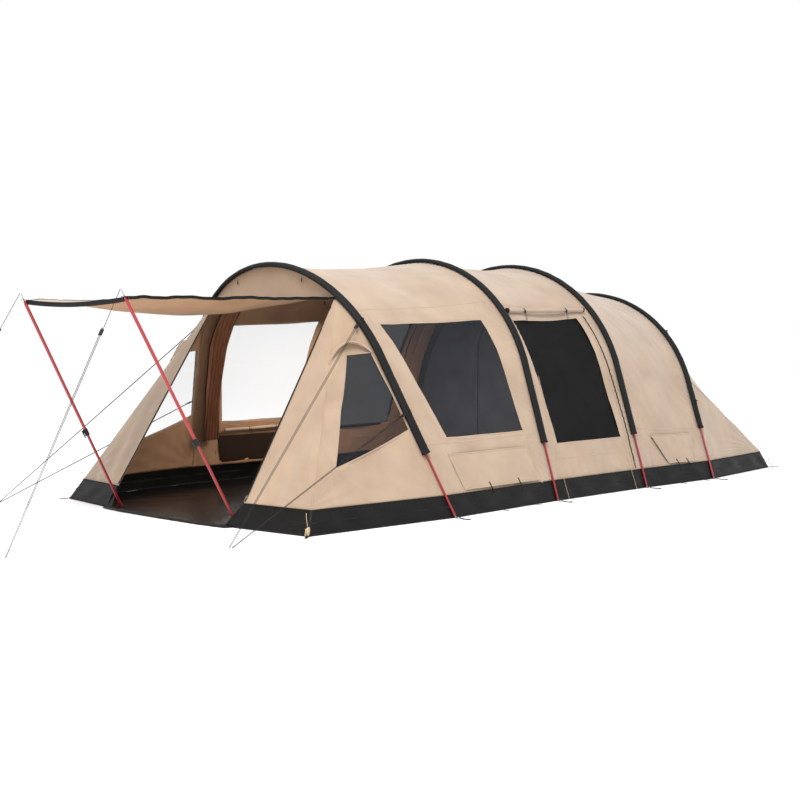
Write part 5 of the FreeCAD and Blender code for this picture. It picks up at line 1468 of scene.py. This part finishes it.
for which, points in GUYS.items():
    falls = which == "awning"
    for name, side in SIDES.items():
        title, pts = f"guy_{which}_{name}", mirror(np.array(points), side)
        if falls:
            guy, path = limp_tube(title, pts, GUY_WIDE, cord_finish)
        else:
            guy = cord_piece(title, pts, GUY_WIDE, cord_finish)
        knot_grid = barrel(pts[-1] + [0, 0.003, -0.005], pts[-1] + [0, -0.003, 0.005], 0.0045)
        knot = mesh_piece(f"guy_knot_{which}_{name}", [knot_grid], cord_finish, away=None)
        settle(guy, "tent", ["guys_awning" if falls else "guys_arch"], "guy_cord")
        settle(knot, "tent", slot="guy_cord")
        if falls:
            runner = runner_copy(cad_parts[f"runner_awning_{name}"], f"guy_runner_{name}")
            settle(runner, f"runner_awning_{name}_body", [f"runner_awning_{name}"], "clamp_black")
        for piece in [guy, knot, runner] if falls else []:
            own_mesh(piece)
        print(guy.name, "length", round(run_length(pts), 2))

# %% Door cords
ELASTIC_WIDE = 0.0032
for t_, u_top, place in ((0.11, 0.19, "front"), (0.868, 0.083, "back")):
    ground_x = HOOP_WIDTH[1] / 2 * (1 - t_) + HOOP_WIDTH[2] / 2 * t_ + 0.008
    upper, lower = (bay(1, np.array(u_), np.array(t_), CLOTH_OFF + 0.016) for u_ in (u_top, 0.034))
    ground = np.array([ground_x, lower[1], 0.004])
    cord_points = np.array([upper, upper * 0.03 + lower * 0.97, lower, lower * 0.9 + ground * 0.1, ground])
    for name, side in SIDES.items():
        pts = mirror(cord_points, side)
        elastic = cord_piece(f"door_cord_{place}_{name}", pts, ELASTIC_WIDE, elastic_beige)
        settle(elastic, "tent", ["side_door_cords"], "guy_cord")

# %% [markdown]
# ## Finishes for the rigid frame
# The hoops, porch poles, clamps, levers, pins, sliders and runners keep the frame's own shapes and only
# get finishes. The spike on each porch pole is bare zinc, so the enamel gives way to metal above the
# cap's height.

# %% Finishes on the frame's nodes
SPIKE_FROM = 1.686                                 # height at which the enamel ends


def spiked(name, height):
    """Red enamel below a height in Object coordinates, zinc above it."""
    material, tree, shader = blank(name, Roughness=0.32, Coat_Weight=0.35, Coat_Roughness=0.2)
    place = node(tree, "ShaderNodeTexCoord").outputs["Object"]
    up = node(tree, "ShaderNodeSeparateXYZ", {0: place}).outputs[2]
    bare = node(tree, "ShaderNodeMath", {0: up}, {1: height}, operation="GREATER_THAN").outputs[0]
    ramp = node(tree, "ShaderNodeValToRGB", {"Fac": bare})
    for element, colour in zip(ramp.color_ramp.elements, ("9A1B24", "A2A19C")):
        element.color = linear(colour)
    tree.links.new(ramp.outputs[0], shader.inputs["Base Color"])
    tree.links.new(bare, shader.inputs["Metallic"])
    return material


red_spiked = spiked("baked_enamel_red_with_zinc_spike", SPIKE_FROM)
FINISHES = {"arch_pole": red_enamel, "awning_pole_upper": red_spiked, "awning_pole_lower": red_enamel,
            "pole_clamp": nylon, "clamp_lever": nylon, "arch_foot_pins": zinc, "runner": nylon,
            "front_zip_slider": zinc, "side_zip_slider": zinc, "eyelet_tab": eyelet_webbing}
for name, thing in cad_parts.items():
    for start, finish in FINISHES.items():
        if name.startswith(start):
            for material_slot in thing.material_slots:
                material_slot.material = finish

# %% [markdown]
# ## Floor and light
# The tent stands on a plain pale floor, in soft light: one large lamp high on the right, a weaker one
# from the front, and a dim one inside so that the inner cloth shows as it does when daylight comes
# through the canvas.

# %% Stage and lights
FLOOR_HALF, FLOOR_Z = 40, -0.002
floor = bpy.data.objects.new("floor", bpy.data.meshes.new("floor"))
floor_corners = [(x_ * FLOOR_HALF, y_ * FLOOR_HALF, FLOOR_Z) for x_, y_ in ((-1, -1), (1, -1), (1, 1), (-1, 1))]
floor.data.from_pydata(floor_corners, [], [(0, 1, 2, 3)])
bpy.context.scene.collection.objects.link(floor)
floor.data.materials.append(blank("pale_floor", Base_Color=linear("FFFFFF"), Roughness=0.9)[0])


def lamp(name, place, target, size, power, colour="FFFFFF"):
    """A square soft lamp of a given size and power that looks at a target."""
    light = bpy.data.lights.new(name, "AREA")
    light.size, light.energy, light.color = size, power, linear(colour)[:3]
    thing = bpy.data.objects.new(name, light)
    bpy.context.scene.collection.objects.link(thing)
    x, y, z = np.array(target, float) - np.array(place, float)
    thing.location = place
    thing.rotation_euler = (math.atan2(math.hypot(x, y), -z), 0, math.atan2(y, x) - math.pi / 2)
    thing.visible_camera = False


lamp("key_lamp", (5.0, -7.0, 10.0), (0, 0, 0.8), 5.0, 1150)
lamp("front_lamp", (-1.0, -10.0, 4.0), (0, -1.5, 1.0), 4.0, 40)
lamp("inside_lamp", (0.0, -0.5, 1.55), (0.0, -0.499, 0.0), 0.9, 65, "FFF1E2")

world = bpy.data.worlds.new("studio")
bpy.context.scene.world = world
world.use_nodes = True
world.node_tree.nodes["Background"].inputs[0].default_value = linear("FFFFFF")
world.node_tree.nodes["Background"].inputs[1].default_value = 1.0
bpy.context.scene.view_settings.view_transform = "Standard"
